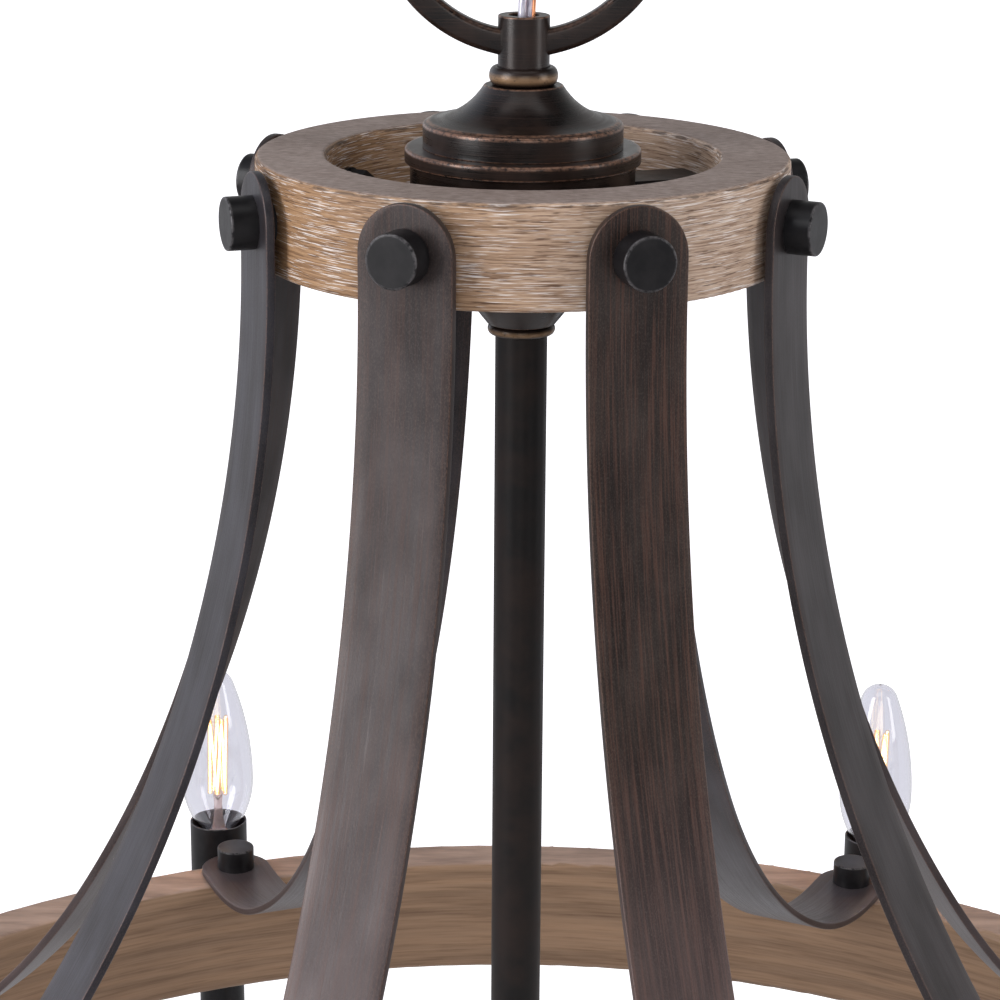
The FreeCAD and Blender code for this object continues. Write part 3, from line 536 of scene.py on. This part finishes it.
black_finish = black_steel()
zinc_finish = plain_metal("zinc_steel", (0.62, 0.62, 0.60), 0.32)
brass_finish = plain_metal("lamp_brass", (0.80, 0.58, 0.28), 0.28)
copper_finish = plain_metal("bare_copper", (0.80, 0.34, 0.17), 0.30)
amber_finish = amber_insulator()
print("materials", black_finish.name, zinc_finish.name, amber_finish.name)

# %% [markdown]
# ## Supply cord
# Two clear leads over tinned wire and one bare copper earth wire come out of the hub tube together and
# pass beside the chain link up to the ceiling. The route's points are the cord's own, so the smooth line
# follows them. It is made in two lengths that meet beside the link.

# %% Supply cord
cord_route = [
    (0.0, 0.0, -0.30145), (0.0, 0.0, -0.19155), (0.0072, 0.0086, -0.14555), (0.0080, 0.0095, -0.11055),
    (0.0077, 0.0090, -0.0690), (0.0, 0.0, -0.0510), (0.0, 0.0, -0.0060),
]
cord_meeting = -0.0975


def route_points(points):
    """Points read from the smooth spline through the route."""
    curve = bpy.data.curves.new("cord_route", "CURVE")
    curve.dimensions = "3D"
    curve.resolution_u = 24
    spline = curve.splines.new("NURBS")
    spline.points.add(len(points) - 1)
    for point, place in zip(spline.points, points):
        point.co = (*place, 1.0)
    spline.order_u = 3
    spline.use_endpoint_u = True
    holder = bpy.data.objects.new("cord_route", curve)
    read = bpy.data.meshes.new_from_object(holder)
    places = [v.co.copy() for v in read.vertices]
    bpy.data.objects.remove(holder)
    return places


def clear_lead_finish():
    material, tree, shader = finish("clear_cord")
    lay = noise(tree, place_mm(tree, (1.2, 1.2, 0.25)), 1.0, 3.0)
    tint = mixed(tree, span(tree, lay, 0.3, 0.7), (0.42, 0.40, 0.50), (0.78, 0.76, 0.86))
    set_surface(tree, shader, colour=tint, metal=0.35, rough=0.25, coat=0.8, coat_rough=0.08)
    return material


lead_finish = clear_lead_finish()
cord_line = route_points(cord_route)
below = [p for p in cord_line if p.z < cord_meeting]
above = [p for p in cord_line if p.z > cord_meeting]
share = (cord_meeting - below[-1].z) / (above[0].z - below[-1].z)
meeting = below[-1].lerp(above[0], share)
cord_parts = (
    ("supply_cord_lower", below + [meeting], "chain_link_body", "wheel_frame", -0.104, -0.158),
    ("supply_cord_upper", [meeting] + above, "ceiling_mount", "chain_link_body", -0.052, -0.092),
)
# each wire's offset to the side, offset to the back, and radius; the last is the bare copper
cord_wires = (
    (-1.75 * mm, 0.0, 1.62 * mm), (1.1 * mm, 1.1 * mm, 1.62 * mm), (2.2 * mm, -1.7 * mm, 0.62 * mm),
)
for name, path, body_a, body_b, start_z, end_z in cord_parts:
    points = []
    faces = []
    marks = []
    for number, (side, up, radius) in enumerate(cord_wires):
        part, part_faces = tube_points(path, radius, 16, (side, up))
        faces += [tuple(i + len(points) for i in face) for face in part_faces]
        marks += [number] * len(part_faces)
        points += part
    mesh = bpy.data.meshes.new(name)
    mesh.from_pydata(points, [], faces)
    mesh.materials.append(lead_finish)
    mesh.materials.append(copper_finish)
    mesh.polygons.foreach_set("use_smooth", [len(face) == 4 for face in faces])
    mesh.polygons.foreach_set("material_index", [1 if number == 2 else 0 for number in marks])
    cord = bpy.data.objects.new(name, mesh)
    bpy.context.scene.collection.objects.link(cord)
    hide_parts("supply_cord")
    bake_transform(cord)

# %% [markdown]
# ## Bell-curved bars
# Each bar is drawn flat first: a long plate with round ends about its two bolts. Its edges are rolled
# over a little, as cut bar is after tumbling. The flat plate is then laid along the bell curve, whose
# three bends touch smoothly, with the same radii that carry the bar flat onto the wheel.

# %% Bell-curved bars
bar_width = 35.5
bar_thick = 3.2
bar_face = 101.5
bar_top = -0.75
upright_end = -29.0
bolt_height = -18.5
foot_face = wheel_top + bar_thick
lower_bolt = 407.475
bar_tip = lower_bolt + bar_width / 2
foot_flat = 12.0
bend_turns = [math.radians(v) for v in (33.0, 31.0, 26.0)]
foot_radius = 180.0


def bend_radii():
    """The two upper bends' radii that bring the bar to the wheel, lying flat."""
    first, second = bend_turns[0], bend_turns[0] + bend_turns[1]
    out = lower_bolt - foot_flat - bar_face - foot_radius * math.cos(second)
    down = upright_end - foot_face - foot_radius * (1 - math.sin(second))
    a, b = 1 - math.cos(first), math.cos(first) - math.cos(second)
    c, d = math.sin(first), math.sin(second) - math.sin(first)
    bottom = a * d - b * c
    return (out * d - b * down) / bottom, (a * down - out * c) / bottom, foot_radius


radii = bend_radii()
stretches = [bar_top - upright_end] + [r * t for r, t in zip(radii, bend_turns)]
bar_length = sum(stretches) + bar_tip - (lower_bolt - foot_flat)


def on_bell(s):
    """Place on the bar's face, s down its length, and the way that the face looks there."""
    if s <= stretches[0]:
        return Vector((bar_face, bar_top - s)), Vector((1, 0))
    x, z, angle = bar_face, upright_end, 0.0
    left = s - stretches[0]
    for radius, turn_here, length in zip(radii, bend_turns, stretches[1:]):
        centre = Vector((x + radius * math.cos(angle), z + radius * math.sin(angle)))
        reach = min(left, length) / radius + angle
        look = Vector((math.cos(reach), math.sin(reach)))
        if left <= length:
            return centre - look * radius, look
        x, z = centre - look * radius
        angle += turn_here
        left -= length
    return Vector((x + left, z)), Vector((0, 1))


def bar_rows(inset):
    """(place along, half width) down one side of the flat bar, drawn in by inset."""
    half = bar_width / 2
    round_rows = [math.radians(4 + 86 * j / 15) for j in range(16)]
    rows = [(half - (half - inset) * math.cos(a), (half - inset) * math.sin(a)) for a in round_rows]
    straight = bar_length - bar_width
    count = int(straight / 3)
    rows += [(half + straight * j / count, half - inset) for j in range(1, count)]
    rows += [(bar_length - along, wide) for along, wide in reversed(rows[:16])]
    return rows


def bell_bar():
    """Points, faces, wear and place along and across of one bar, on the XZ plane."""
    edge = 0.5
    loops = [(edge, 0.0), (0.62 * edge, 0.04), (0.29 * edge, 0.146), (0.08 * edge, 0.31), (0.0, edge)]
    loops += [(0.0, bar_thick - edge)] + [(i, bar_thick - d) for i, d in reversed(loops[:4])]
    wear = [0.2, 0.9, 0.8, 0.3, 0.0, 0.0, 0.3, 0.8, 0.9, 0.2]
    points, worn, along, across = [], [], [], []
    row_count = len(bar_rows(0.0))

    def put(s, v, depth, wear_here):
        face_point, look = on_bell(s)
        place = face_point - look * depth
        points.append((place.x, v, place.y))
        worn.append(wear_here)
        along.append(s)
        across.append(v + depth if v > 0 else v - depth)

    for (inset, depth), wear_here in zip(loops, wear):
        rows = bar_rows(inset)
        for s, half in rows:
            put(s, half, depth, wear_here)
        for s, half in reversed(rows):
            put(s, -half, depth, wear_here)
    ring = 2 * row_count
    faces = []
    for i in range(len(loops) - 1):
        for j in range(ring):
            k = (j + 1) % ring
            faces.append((i * ring + j, (i + 1) * ring + j, (i + 1) * ring + k, i * ring + k))
    columns = 7
    for inset, depth, loop, flip in ((edge, 0.0, 0, False), (edge, bar_thick, len(loops) - 1, True)):
        first = len(points)
        for s, half in bar_rows(inset):
            for c in range(1, columns):
                v = half * (1 - 2 * c / columns)
                put(s, v, depth, 0.0)

        def at_cell(j, c):
            if c == 0:
                return loop * ring + j
            if c == columns:
                return loop * ring + ring - 1 - j
            return first + j * (columns - 1) + c - 1

        for j in range(row_count - 1):
            for c in range(columns):
                cell = (at_cell(j, c), at_cell(j + 1, c), at_cell(j + 1, c + 1), at_cell(j, c + 1))
                faces.append(cell[::-1] if flip else cell)
    return points, [face[::-1] for face in faces], worn, along, across


bar_points, bar_faces, bar_worn, bar_along, bar_across = bell_bar()
# each bar's share of copper streaks, which also scales the painted sheen on its lower bend
copper_and_sheen_shares = (0.25, 0.1, 0.2, 0.3, 0.05, 0.35, 1.0, 0.05)
slate_shares = (0.5, 0.8, 0.7, 0.4, 1.0, 0.25, 0.0, 0.5)
for k in range(station_count):
    name = f"bell_bar_{k + 1}"
    bar = mesh_object(name, bar_points, bar_faces, bar_worn)
    for label, values in (
        ("along", bar_along), ("across", bar_across), ("bar", [k] * len(bar_points)),
        ("copper", [copper_and_sheen_shares[k]] * len(bar_points)), ("slate", [slate_shares[k]] * len(bar_points)),
    ):
        bar.data.attributes.new(label, "FLOAT", "POINT").data.foreach_set("value", values)
    bar.matrix_world = station(k)
    finished(bar, "wheel_frame", [f"strap_{k + 1}"], bar_finish)
print("bars", station_count, "points each", len(bar_points), "length", round(bar_length, 1))

# %% [markdown]
# ## Bolts
# The bolts have tall plain heads with a rim that handling has rubbed bright. The same outline serves
# both heights: it is turned once, then laid on its side for the upper ones.

# %% Bolts through the bars
def bolt(name, head_height, shank):
    return turned(name, [
        (0.01, head_height, 0), (9.5, head_height, 0.8), (9.5, 0.0, 0.2), (4.0, 0.0, 0), (4.0, -shank, 0.4),
        (0.01, -shank, 0),
    ], 96)


to_zero = Matrix.Translation((0, 0, zero))
upper_bolt = bolt("upper_bolt", 10.0, 39.5)
low_bolt = bolt("lower_bolt", 11.6, 48.2)
on_side = Matrix.Translation((bar_face * mm, 0, bolt_height * mm)) @ Matrix.Rotation(math.pi / 2, 4, "Y")
on_foot = Matrix.Translation((lower_bolt * mm, 0, foot_face * mm))
for pattern, node_name, local in (
    (upper_bolt, "top_strap_bolts", on_side), (low_bolt, "wheel_strap_bolts", on_foot),
):
    pattern.data.transform(to_zero.inverted())
    pattern.data.materials.append(black_finish)
    for k in range(station_count):
        piece = pattern if k == 0 else repeated(pattern, f"{pattern.name}_{k + 1}", Matrix())
        piece.matrix_world = to_zero @ station(k) @ local
        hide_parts(node_name)
        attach(piece, "wheel_frame")
print("bolts", 2 * station_count)

# %% [markdown]
# ## Hub
# The hub is a stack of turned pieces threaded on one tube: bead, bell, flange plate, drum, and a bowl
# and bead under the small ring. Each outline is a few corners, with the bell's slope bowed inward.

# %% Hub pieces
bore = 9.3
bell_slope = bowed((34.2, 11.6), (14.0, 24.5), 2.8)


def bead_corners(low, height, inner):
    middle = low + height / 2
    rim = 12.35
    land = inner + 1.0
    corners = [(inner, low, 0)]
    for step in range(13):
        angle = math.radians(-90 + 15 * step)
        corners.append((land + (rim - land) * math.cos(angle), middle + height / 2 * math.sin(angle), 0))
    return corners + [(inner, low + height, 0)]


hub_pieces = (
    ("hub_bell", [(bore, 2.1, 0), (36.0, 2.1, 0.3), (36.0, 10.6, 2.2), (34.2, 11.6, 0.9)] + bell_slope
     + [(14.0, 24.5, 0.5), (bore, 24.5, 0)], hub_finish),
    ("flange_plate", [(bore, -3.1, 0), (42.5, -3.1, 0.5), (42.5, 2.1, 1.3), (bore, 2.1, 0)], hub_finish),
    ("hub_drum", [(bore, -12.0, 0), (40.5, -12.0, 0.6), (40.5, -3.1, 0.2), (bore, -3.1, 0)], hub_finish),
    ("under_bowl", [(bore, -62.6, 0), (12.4, -62.6, 0.3)] + bowed((12.4, -62.6), (29.2, -20.0), -3.9)
     + [(29.2, -20.0, 0.6), (29.2, -16.0, 0.6), (bore, -16.0, 0)], hub_finish),
    ("hub_tube", [(5.5, -62.6, 0), (9.25, -62.6, 0.3), (9.25, 49.2, 0.6), (5.5, 49.2, 0.5)], hub_finish),
    ("stem", [(5.5, -596.0, 0), (9.525, -596.0, 0.3), (9.525, -62.6, 0.3), (5.5, -62.6, 0)], stem_finish),
)
for name, corners, material in hub_pieces:
    slot = "stem_bronze" if name == "stem" else "hub_bronze"
    finished(turned("turned_" + name, corners, 192), "wheel_frame", [name], material)


def bead(name, low, height, inner):
    """A half-round bead, worn bright round its middle and lower half."""
    outline = []
    for r, z, _ in bead_corners(low, height, inner):
        share = (z - low) / height
        band = max(0.0, 1 - abs(share - 0.42) / 0.3) if r > inner + 1.2 else 0.0
        outline.append((r, z, band))
    return mesh_object(name, *spun_points(outline, 160))


for name, low, height, inner in (("upper_bead", 24.5, 6.5, bore), ("lower_bead", -66.6, 4.0, 9.575)):
    finished(bead(name, low, height, inner), "wheel_frame", ["bead_collars"], bead_finish)
print("hub pieces", len(hub_pieces) + 2)

# %% [markdown]
# ## Hanging ring
# A flattened bar was bent round and welded to both sides of the tube. The bar thickens a little where
# the weld fills the corner. It is laid as one sweep of a rounded section, from weld to weld.

# %% Hanging ring
def hanging_ring():
    centre_height = 88.6
    bar_wide, bar_deep, corner = 8.9, 8.0, 2.0
    middle = 45.0 + bar_wide / 2
    weld_reach = 5.0
    start = math.asin(weld_reach / middle)
    count = 160
    flat_x, flat_y = bar_wide / 2 - corner, bar_deep / 2 - corner
    section = []
    corners = ((flat_x, flat_y, 0), (-flat_x, flat_y, 90), (-flat_x, -flat_y, 180), (flat_x, -flat_y, 270))
    for cx, cy, first in corners:
        for step in range(6):
            a = math.radians(first + 18 * step)
            wear = math.sin(math.radians(36 * step))
            section.append((cx + corner * math.cos(a), cy + corner * math.sin(a), wear))
    points, worn, faces = [], [], []
    sides = len(section)
    for i in range(count + 1):
        angle = -math.pi / 2 + start + (math.tau - 2 * start) * i / count
        weld = math.exp(-min(i, count - i) * (math.tau * middle / count) / 3.2)
        for x, y, wear in section:
            r = middle + x * (1 + 0.16 * weld)
            points.append((r * math.cos(angle), y * (1 + 0.16 * weld), centre_height + r * math.sin(angle)))
            worn.append(0.35 * wear if x < 0 else 0.12 * wear)
    for i in range(count):
        for j in range(sides):
            k = (j + 1) % sides
            faces.append((i * sides + j, i * sides + k, (i + 1) * sides + k, (i + 1) * sides + j))
    faces.append(tuple(range(sides - 1, -1, -1)))
    faces.append(tuple(count * sides + j for j in range(sides)))
    return mesh_object("bent_hanging_ring", points, faces, worn)


finished(hanging_ring(), "wheel_frame", ["hanging_ring"], hub_finish)
print("hanging ring laid")

# %% [markdown]
# ## Lamp cups, candle tubes and sockets
# Each cup is a thin black shell with a rounded rim, and its socket's amber insulator shows inside. The
# candle tube goes on below, past the wheel.

# %% Cups, candle tubes and sockets
lamp_reach = 440.525
cup_shape = turned("lamp_cup", [
    (7.8, -466.0, 0.2), (15.0, -466.0, 3.0), (15.0, -434.6, 0.45), (14.0, -434.6, 0.45), (14.0, -465.0, 2.0),
    (7.8, -465.0, 0.2),
], 96)
candle_shape = turned("candle_tube", [
    (10.8, -545.0, 0.3), (12.0, -545.0, 0.4), (12.0, -466.0, 0.3), (10.8, -466.0, 0.2),
], 96)
socket_shape = turned("lamp_socket", [
    (6.2, -466.0, 0.3), (0.01, -466.0, 0), (0.01, -478.0, 0), (7.5, -478.0, 0.5), (7.5, -443.0, 0.6),
    (6.2, -443.0, 0.4),
], 72)


def lamp_place(k):
    """Where the lamp of bar k stands. It is round, so it isn't turned with the bar."""
    return Matrix.Translation((station(k) @ Matrix.Translation((lamp_reach * mm, 0, 0))).translation)


for shape, node_of, slot, material in (
    (cup_shape, "lamp_cup_{}", "black_steel", black_finish),
    (candle_shape, "candle_tubes", "black_steel", black_finish),
    (socket_shape, "lamp_sockets", "amber_insulator", amber_finish),
):
    shape.data.materials.append(material)
    for k in range(station_count):
        piece = shape if k == 0 else repeated(shape, f"{shape.name}_{k + 1}", Matrix())
        piece.matrix_world = lamp_place(k)
        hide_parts(node_of.format(k + 1))
        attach(piece, "wheel_frame")
print("cups, candle tubes and sockets", 3 * station_count)

# %% [markdown]
# ## Bulbs
# A torpedo bulb has a thin clear wall, a pinched glass stem with support wires, and a filament wound in
# a tall zigzag. The glass is faintly lavender. Light from inside passes it, so the glass lets shadow rays
# through.

# %% Finishes of the bulb
def bulb_glass():
    material, tree, shader = finish("clear_glass")
    set_surface(tree, shader, colour=(0.93, 0.93, 0.97), rough=0.0, clear=1.0, ior=1.45)
    path = node(tree, "ShaderNodeLightPath")
    through = node(tree, "ShaderNodeBsdfTransparent", {"Color": (0.93, 0.93, 0.96, 1.0)})
    either = node(tree, "ShaderNodeMixShader", {0: path.outputs["Is Shadow Ray"]})
    tree.links.new(shader.outputs[0], either.inputs[1])
    tree.links.new(through.outputs[0], either.inputs[2])
    tree.links.new(either.outputs[0], tree.nodes["Material Output"].inputs["Surface"])
    return material


def glowing(name, colour, strength):
    material, tree, shader = finish(name)
    set_surface(tree, shader, colour=(0.02, 0.01, 0.005), glow=colour, glow_strength=strength)
    return material


def frosted_stem():
    material, tree, shader = finish("stem_glass")
    set_surface(
        tree, shader, colour=(0.80, 0.66, 0.62), rough=0.2, clear=0.85, ior=1.3,
    )
    return material


glass_finish = bulb_glass()
core_glow = glowing("filament_core", (1.0, 0.80, 0.42), 9.0)
strand_glow = glowing("filament_strands", (1.0, 0.34, 0.05), 2.6)


def soft_halo():
    """A painted glow: a faint warm sleeve round the filament, mostly clear, standing in for its glare."""
    material, tree, shader = finish("filament_halo")
    clear = node(tree, "ShaderNodeBsdfTransparent")
    warm = node(tree, "ShaderNodeEmission", {"Color": (1.0, 0.52, 0.20, 1.0), "Strength": 1.0})
    either = node(tree, "ShaderNodeMixShader", {0: 0.22, 1: clear.outputs[0], 2: warm.outputs[0]})
    tree.links.new(either.outputs[0], tree.nodes["Material Output"].inputs["Surface"])
    return material


faint_glow = soft_halo()
stem_glass = frosted_stem()
print("bulb finishes", glass_finish.name, core_glow.name, stem_glass.name)

# %% [markdown]
# The glass outline is three arcs that touch: a slim neck arc, a long side arc and a small round tip. A
# second outline just inside it gives the wall. The filament runs up and down between two rings of wire
# supports, and two thin strands wind round its core, so it reads as a coil.

# %% Shapes of the bulb
bulb_neck = -442.7
belly_height = 32.0
belly_radius = 18.9
neck_radius = 6.3
glass_length = 93.0
tip_radius = 9.7


def glass_outline(wall):
    """Half outline of the glass, from neck to tip, drawn in by the wall."""
    inset = belly_radius - neck_radius
    low_radius = (inset**2 + belly_height**2) / (2 * inset)
    rise = glass_length - belly_height - tip_radius
    side_radius = (belly_radius**2 + rise**2 - tip_radius**2) / (2 * (belly_radius - tip_radius))
    join = math.atan2(rise, side_radius - belly_radius)
    belly = bulb_neck + belly_height
    points = []
    low_angle = math.asin((belly_height - 2 * wall) / (low_radius - wall))
    for step in range(20):
        a = -low_angle * (1 - step / 20)
        reach = low_radius - wall
        points.append((belly_radius - low_radius + reach * math.cos(a), belly + reach * math.sin(a)))
    for step in range(28):
        a = join * step / 28
        reach = side_radius - wall
        points.append((belly_radius - side_radius + reach * math.cos(a), belly + reach * math.sin(a)))
    for step in range(17):
        a = join + (math.pi / 2 - join) * step / 16
        reach = tip_radius - wall
        centre = bulb_neck + glass_length - tip_radius
        points.append((max(0.01, reach * math.cos(a)), centre + reach * math.sin(a)))
    return points


def bulb_envelope():
    outer = glass_outline(0.0)
    inner = glass_outline(0.8)
    ring = [(0.01, outer[0][1])] + outer + inner[::-1] + [(0.01, inner[0][1])]
    return mesh_object("bulb_glass", *spun_points([(r, z, 0.0) for r, z in ring], 96))


def bulb_base():
    """Screw shell with its rolled thread, insulator and contact."""
    corners = [(0.01, -465.7, 0), (2.5, -465.7, 0.3), (2.5, -463.9, 0), (5.0, -463.2, 0.3)]
    for turn_number in range(5):
        low = -461.5 + turn_number * 3.2
        corners += [(5.35, low, 0.4), (5.85, low + 1.6, 0.6)]
    corners += [(5.85, -444.5, 0.3), (5.85, -442.75, 0.3), (0.01, -442.75, 0)]
    return turned("bulb_base", corners, 64)


def bulb_inside():
    """Pinched glass stem that narrows upward."""
    low = bulb_neck + 1.7
    corners = [(0.01, low, 0), (4.2, low, 0.5), (2.6, low + 7, 2.0), (2.1, low + 17, 2.0)]
    corners += [(2.6, low + 21, 1.5), (1.5, low + 26, 1.2), (0.01, low + 27, 0)]
    return turned("bulb_stem", corners, 40)


def zigzag():
    """The filament's bends: up and down between the top and bottom supports, round the axis."""
    low = bulb_neck + 24.0
    high = bulb_neck + 66.0
    places = []
    for step in range(9):
        angle = math.radians(-72 + 36 * step)
        radius = 5.2 if step % 2 else 4.2
        height = high if step % 2 else low
        places.append(Vector((radius * math.sin(angle), -radius * math.cos(angle) * 0.8, height)))
    line = []
    for a, b in zip(places, places[1:]):
        line += [a.lerp(b, t / 14) for t in range(14)]
    return line + [places[-1]]


def wire_piece(name, lines, radius, sides=8):
    points, faces = [], []
    for line in lines:
        part, part_faces = tube_points(line, radius, sides)
        faces += [tuple(i + len(points) for i in face) for face in part_faces]
        points += [tuple(p) for p in part]
    return mesh_object(name, points, faces)


def coiled(line, radius, pitch, phase):
    """A strand that winds round a line."""
    run = 0.0
    path = []
    for a, b in zip(line, line[1:]):
        for t in (0.0, 0.25, 0.5, 0.75):
            p = a.lerp(b, t)
            angle = math.tau * (run + (b - a).length * t) / pitch + phase
            path.append(p + Vector((math.cos(angle), math.sin(angle), 0)) * radius)
        run += (b - a).length
    return path


filament_line = zigzag()
strands = [coiled(filament_line, 0.75, 2.2, phase) for phase in (0.0, math.pi)]
supports = []
for step in range(0, 9, 2):
    foot = filament_line[min(14 * step, len(filament_line) - 1)]
    supports.append([Vector((0, 0, bulb_neck + 20.0)), foot.lerp(Vector((0, 0, foot.z)), 0.2), foot])
for step in range(1, 9, 2):
    peak = filament_line[14 * step]
    supports.append([Vector((0, 0, bulb_neck + 27.0)), Vector((0, 0, peak.z - 3)), peak])
bulb_shapes = (
    (bulb_envelope(), glass_finish),
    (bulb_base(), brass_finish),
    (bulb_inside(), stem_glass),
    (wire_piece("filament_core", [filament_line], 0.55), core_glow),
    # painted glow: a clear sleeve round the filament that glows warm, standing in for its glare
    (wire_piece("filament_halo", [filament_line], 1.5, 12), faint_glow),
    (wire_piece("filament_strands", strands, 0.24, 6), strand_glow),
    (wire_piece("support_wires", supports, 0.16, 6), zinc_finish),
)
for shape, material in bulb_shapes:
    shape.data.materials.append(material)
    for k in range(station_count):
        piece = shape if k == 0 else repeated(shape, f"{shape.name}_{k + 1}", Matrix())
        piece.matrix_world = lamp_place(k)
        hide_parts(f"bulb_{k + 1}")
        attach(piece, f"lamp_bulb_{k + 1}")
print("bulb pieces", len(bulb_shapes) * station_count)

# %% [markdown]
# ## Pieces that keep the frame's own shape
# Bottom hub, cap, finial, arms, cross bar, nuts, washers and the whole ceiling end are right as
# they come, so they only need their finish.

# %% Finishes on the frame's own pieces
own_finishes = {
    "ceiling_bracket": zinc_finish, "bracket_locknut": zinc_finish, "canopy_nipple": zinc_finish,
    "joint_nipple": zinc_finish, "canopy": hub_finish, "canopy_collar": hub_finish,
    "canopy_loop": hub_finish, "chain_link": hub_finish, "bottom_hub": hub_finish,
    "bottom_cap": hub_finish, "finial": hub_finish, "cross_bar": black_finish,
    "strap_spacers": black_finish, "flange_nuts": black_finish,
}
own_finishes.update({f"arm_{k + 1}": hub_finish for k in range(station_count)})
for name, material in own_finishes.items():
    mesh = frame["nodes"][name].data
    mesh.materials.clear()
    mesh.materials.append(material)
print("frame pieces finished", len(own_finishes))

# %% [markdown]
# ## Light
# The studio is white behind and beside the light, and dimmer on the camera's side, so the dark metal
# keeps its depth. Soft boxes stand left and right, with a weak one in front. Each bulb adds a little
# warm light to its own cup and bolt.

# %% Studio
def studio_world():
    world = bpy.data.worlds.new("studio")
    bpy.context.scene.world = world
    world.use_nodes = True
    tree = world.node_tree
    background = tree.nodes["Background"]
    sky = node(tree, "ShaderNodeTexCoord").outputs["Generated"]
    way = node(tree, "ShaderNodeSeparateXYZ", {0: sky}).outputs
    level = span(tree, way[1], -0.4, 0.7, 0.02, 0.55)
    left = span(tree, way[0], -0.2, -0.95, 0.0, 0.75)
    level = sum_of(tree, level, span(tree, way[2], 0.15, 0.85, 1.0, 0.22), "MULTIPLY")
    level = sum_of(tree, level, span(tree, way[2], -0.15, -0.6, 1.0, 0.15), "MULTIPLY")
    path = node(tree, "ShaderNodeLightPath").outputs
    cool = [sum_of(tree, level, sum_of(tree, left, share, "MULTIPLY")) for share in (0.86, 0.92, 1.12)]
    glossy = node(tree, "ShaderNodeCombineXYZ", dict(enumerate(cool))).outputs[0]
    soft = mixed(tree, path["Is Diffuse Ray"], glossy, (0.56, 0.56, 0.58))
    through = mixed(tree, path["Is Transmission Ray"], soft, (0.83, 0.82, 0.88))
    colour = mixed(tree, path["Is Camera Ray"], through, (1.0, 1.0, 1.0))
    tree.links.new(colour, background.inputs["Color"])
    return world


def soft_box(name, place, aim, size, watts, tint=(1.0, 1.0, 1.0)):
    data = bpy.data.lights.new(name, "AREA")
    data.shape = "RECTANGLE"
    data.size, data.size_y = size
    data.energy = watts
    data.color = tint
    box = bpy.data.objects.new(name, data)
    box.location = place
    box.rotation_euler = (Vector(aim) - Vector(place)).to_track_quat("-Z", "Y").to_euler()
    box.visible_camera = False
    bpy.context.scene.collection.objects.link(box)
    return box


studio_world()
aim = (0.0, 0.0, zero - 0.2)
soft_box("left_box", (-1.7, -0.9, zero + 0.5), aim, (0.9, 1.8), 34.0)
soft_box("right_box", (1.8, -0.6, zero + 0.4), aim, (0.6, 1.6), 13.0)
soft_box("top_box", (0.0, -0.3, zero + 1.7), aim, (1.6, 1.2), 8.0)
soft_box("front_box", (0.15, -2.4, zero + 0.6), aim, (1.4, 1.0), 9.0)
for k in range(station_count):
    data = bpy.data.lights.new(f"bulb_light_{k + 1}", "POINT")
    data.energy = 0.20
    data.color = (1.0, 0.50, 0.18)
    data.shadow_soft_size = 0.008
    glow = bpy.data.objects.new(f"bulb_light_{k + 1}", data)
    glow.visible_camera = glow.visible_transmission = glow.visible_glossy = False
    glow.parent = bpy.data.objects["bulb_glass" if k == 0 else f"bulb_glass_{k + 1}"]
    glow.location = (0, 0, zero - 395 * mm)
    bpy.context.scene.collection.objects.link(glow)
print("lights", len(bpy.data.lights))

# %% [markdown]
# ## Floor
# A pale floor lies a room's height below. It is bright enough to read as white, and it still takes the
# light's soft shadow.

# %% Floor and picture settings
def pale_floor():
    half = 40.0
    height = -2.6
    mesh = bpy.data.meshes.new("floor")
    corners = [(x * half, y * half, height) for x, y in ((-1, -1), (1, -1), (1, 1), (-1, 1))]
    mesh.from_pydata(corners, [], [(0, 1, 2, 3)])
    floor = bpy.data.objects.new("floor", mesh)
    bpy.context.scene.collection.objects.link(floor)
    material, tree, shader = finish("pale_floor")
    path = node(tree, "ShaderNodeLightPath").outputs
    seen = sum_of(tree, path["Is Camera Ray"], sum_of(tree, path["Is Transmission Ray"], 0.28, "MULTIPLY"))
    set_surface(tree, shader, colour=(0.8, 0.8, 0.8), rough=0.9, specular=0.0, glow=(0.98, 0.97, 1.0),
                glow_strength=span(tree, seen, 0.0, 1.0, 0.12, 0.9))
    mesh.materials.append(material)
    return floor


pale_floor()
bpy.context.scene.view_settings.view_transform = "Standard"
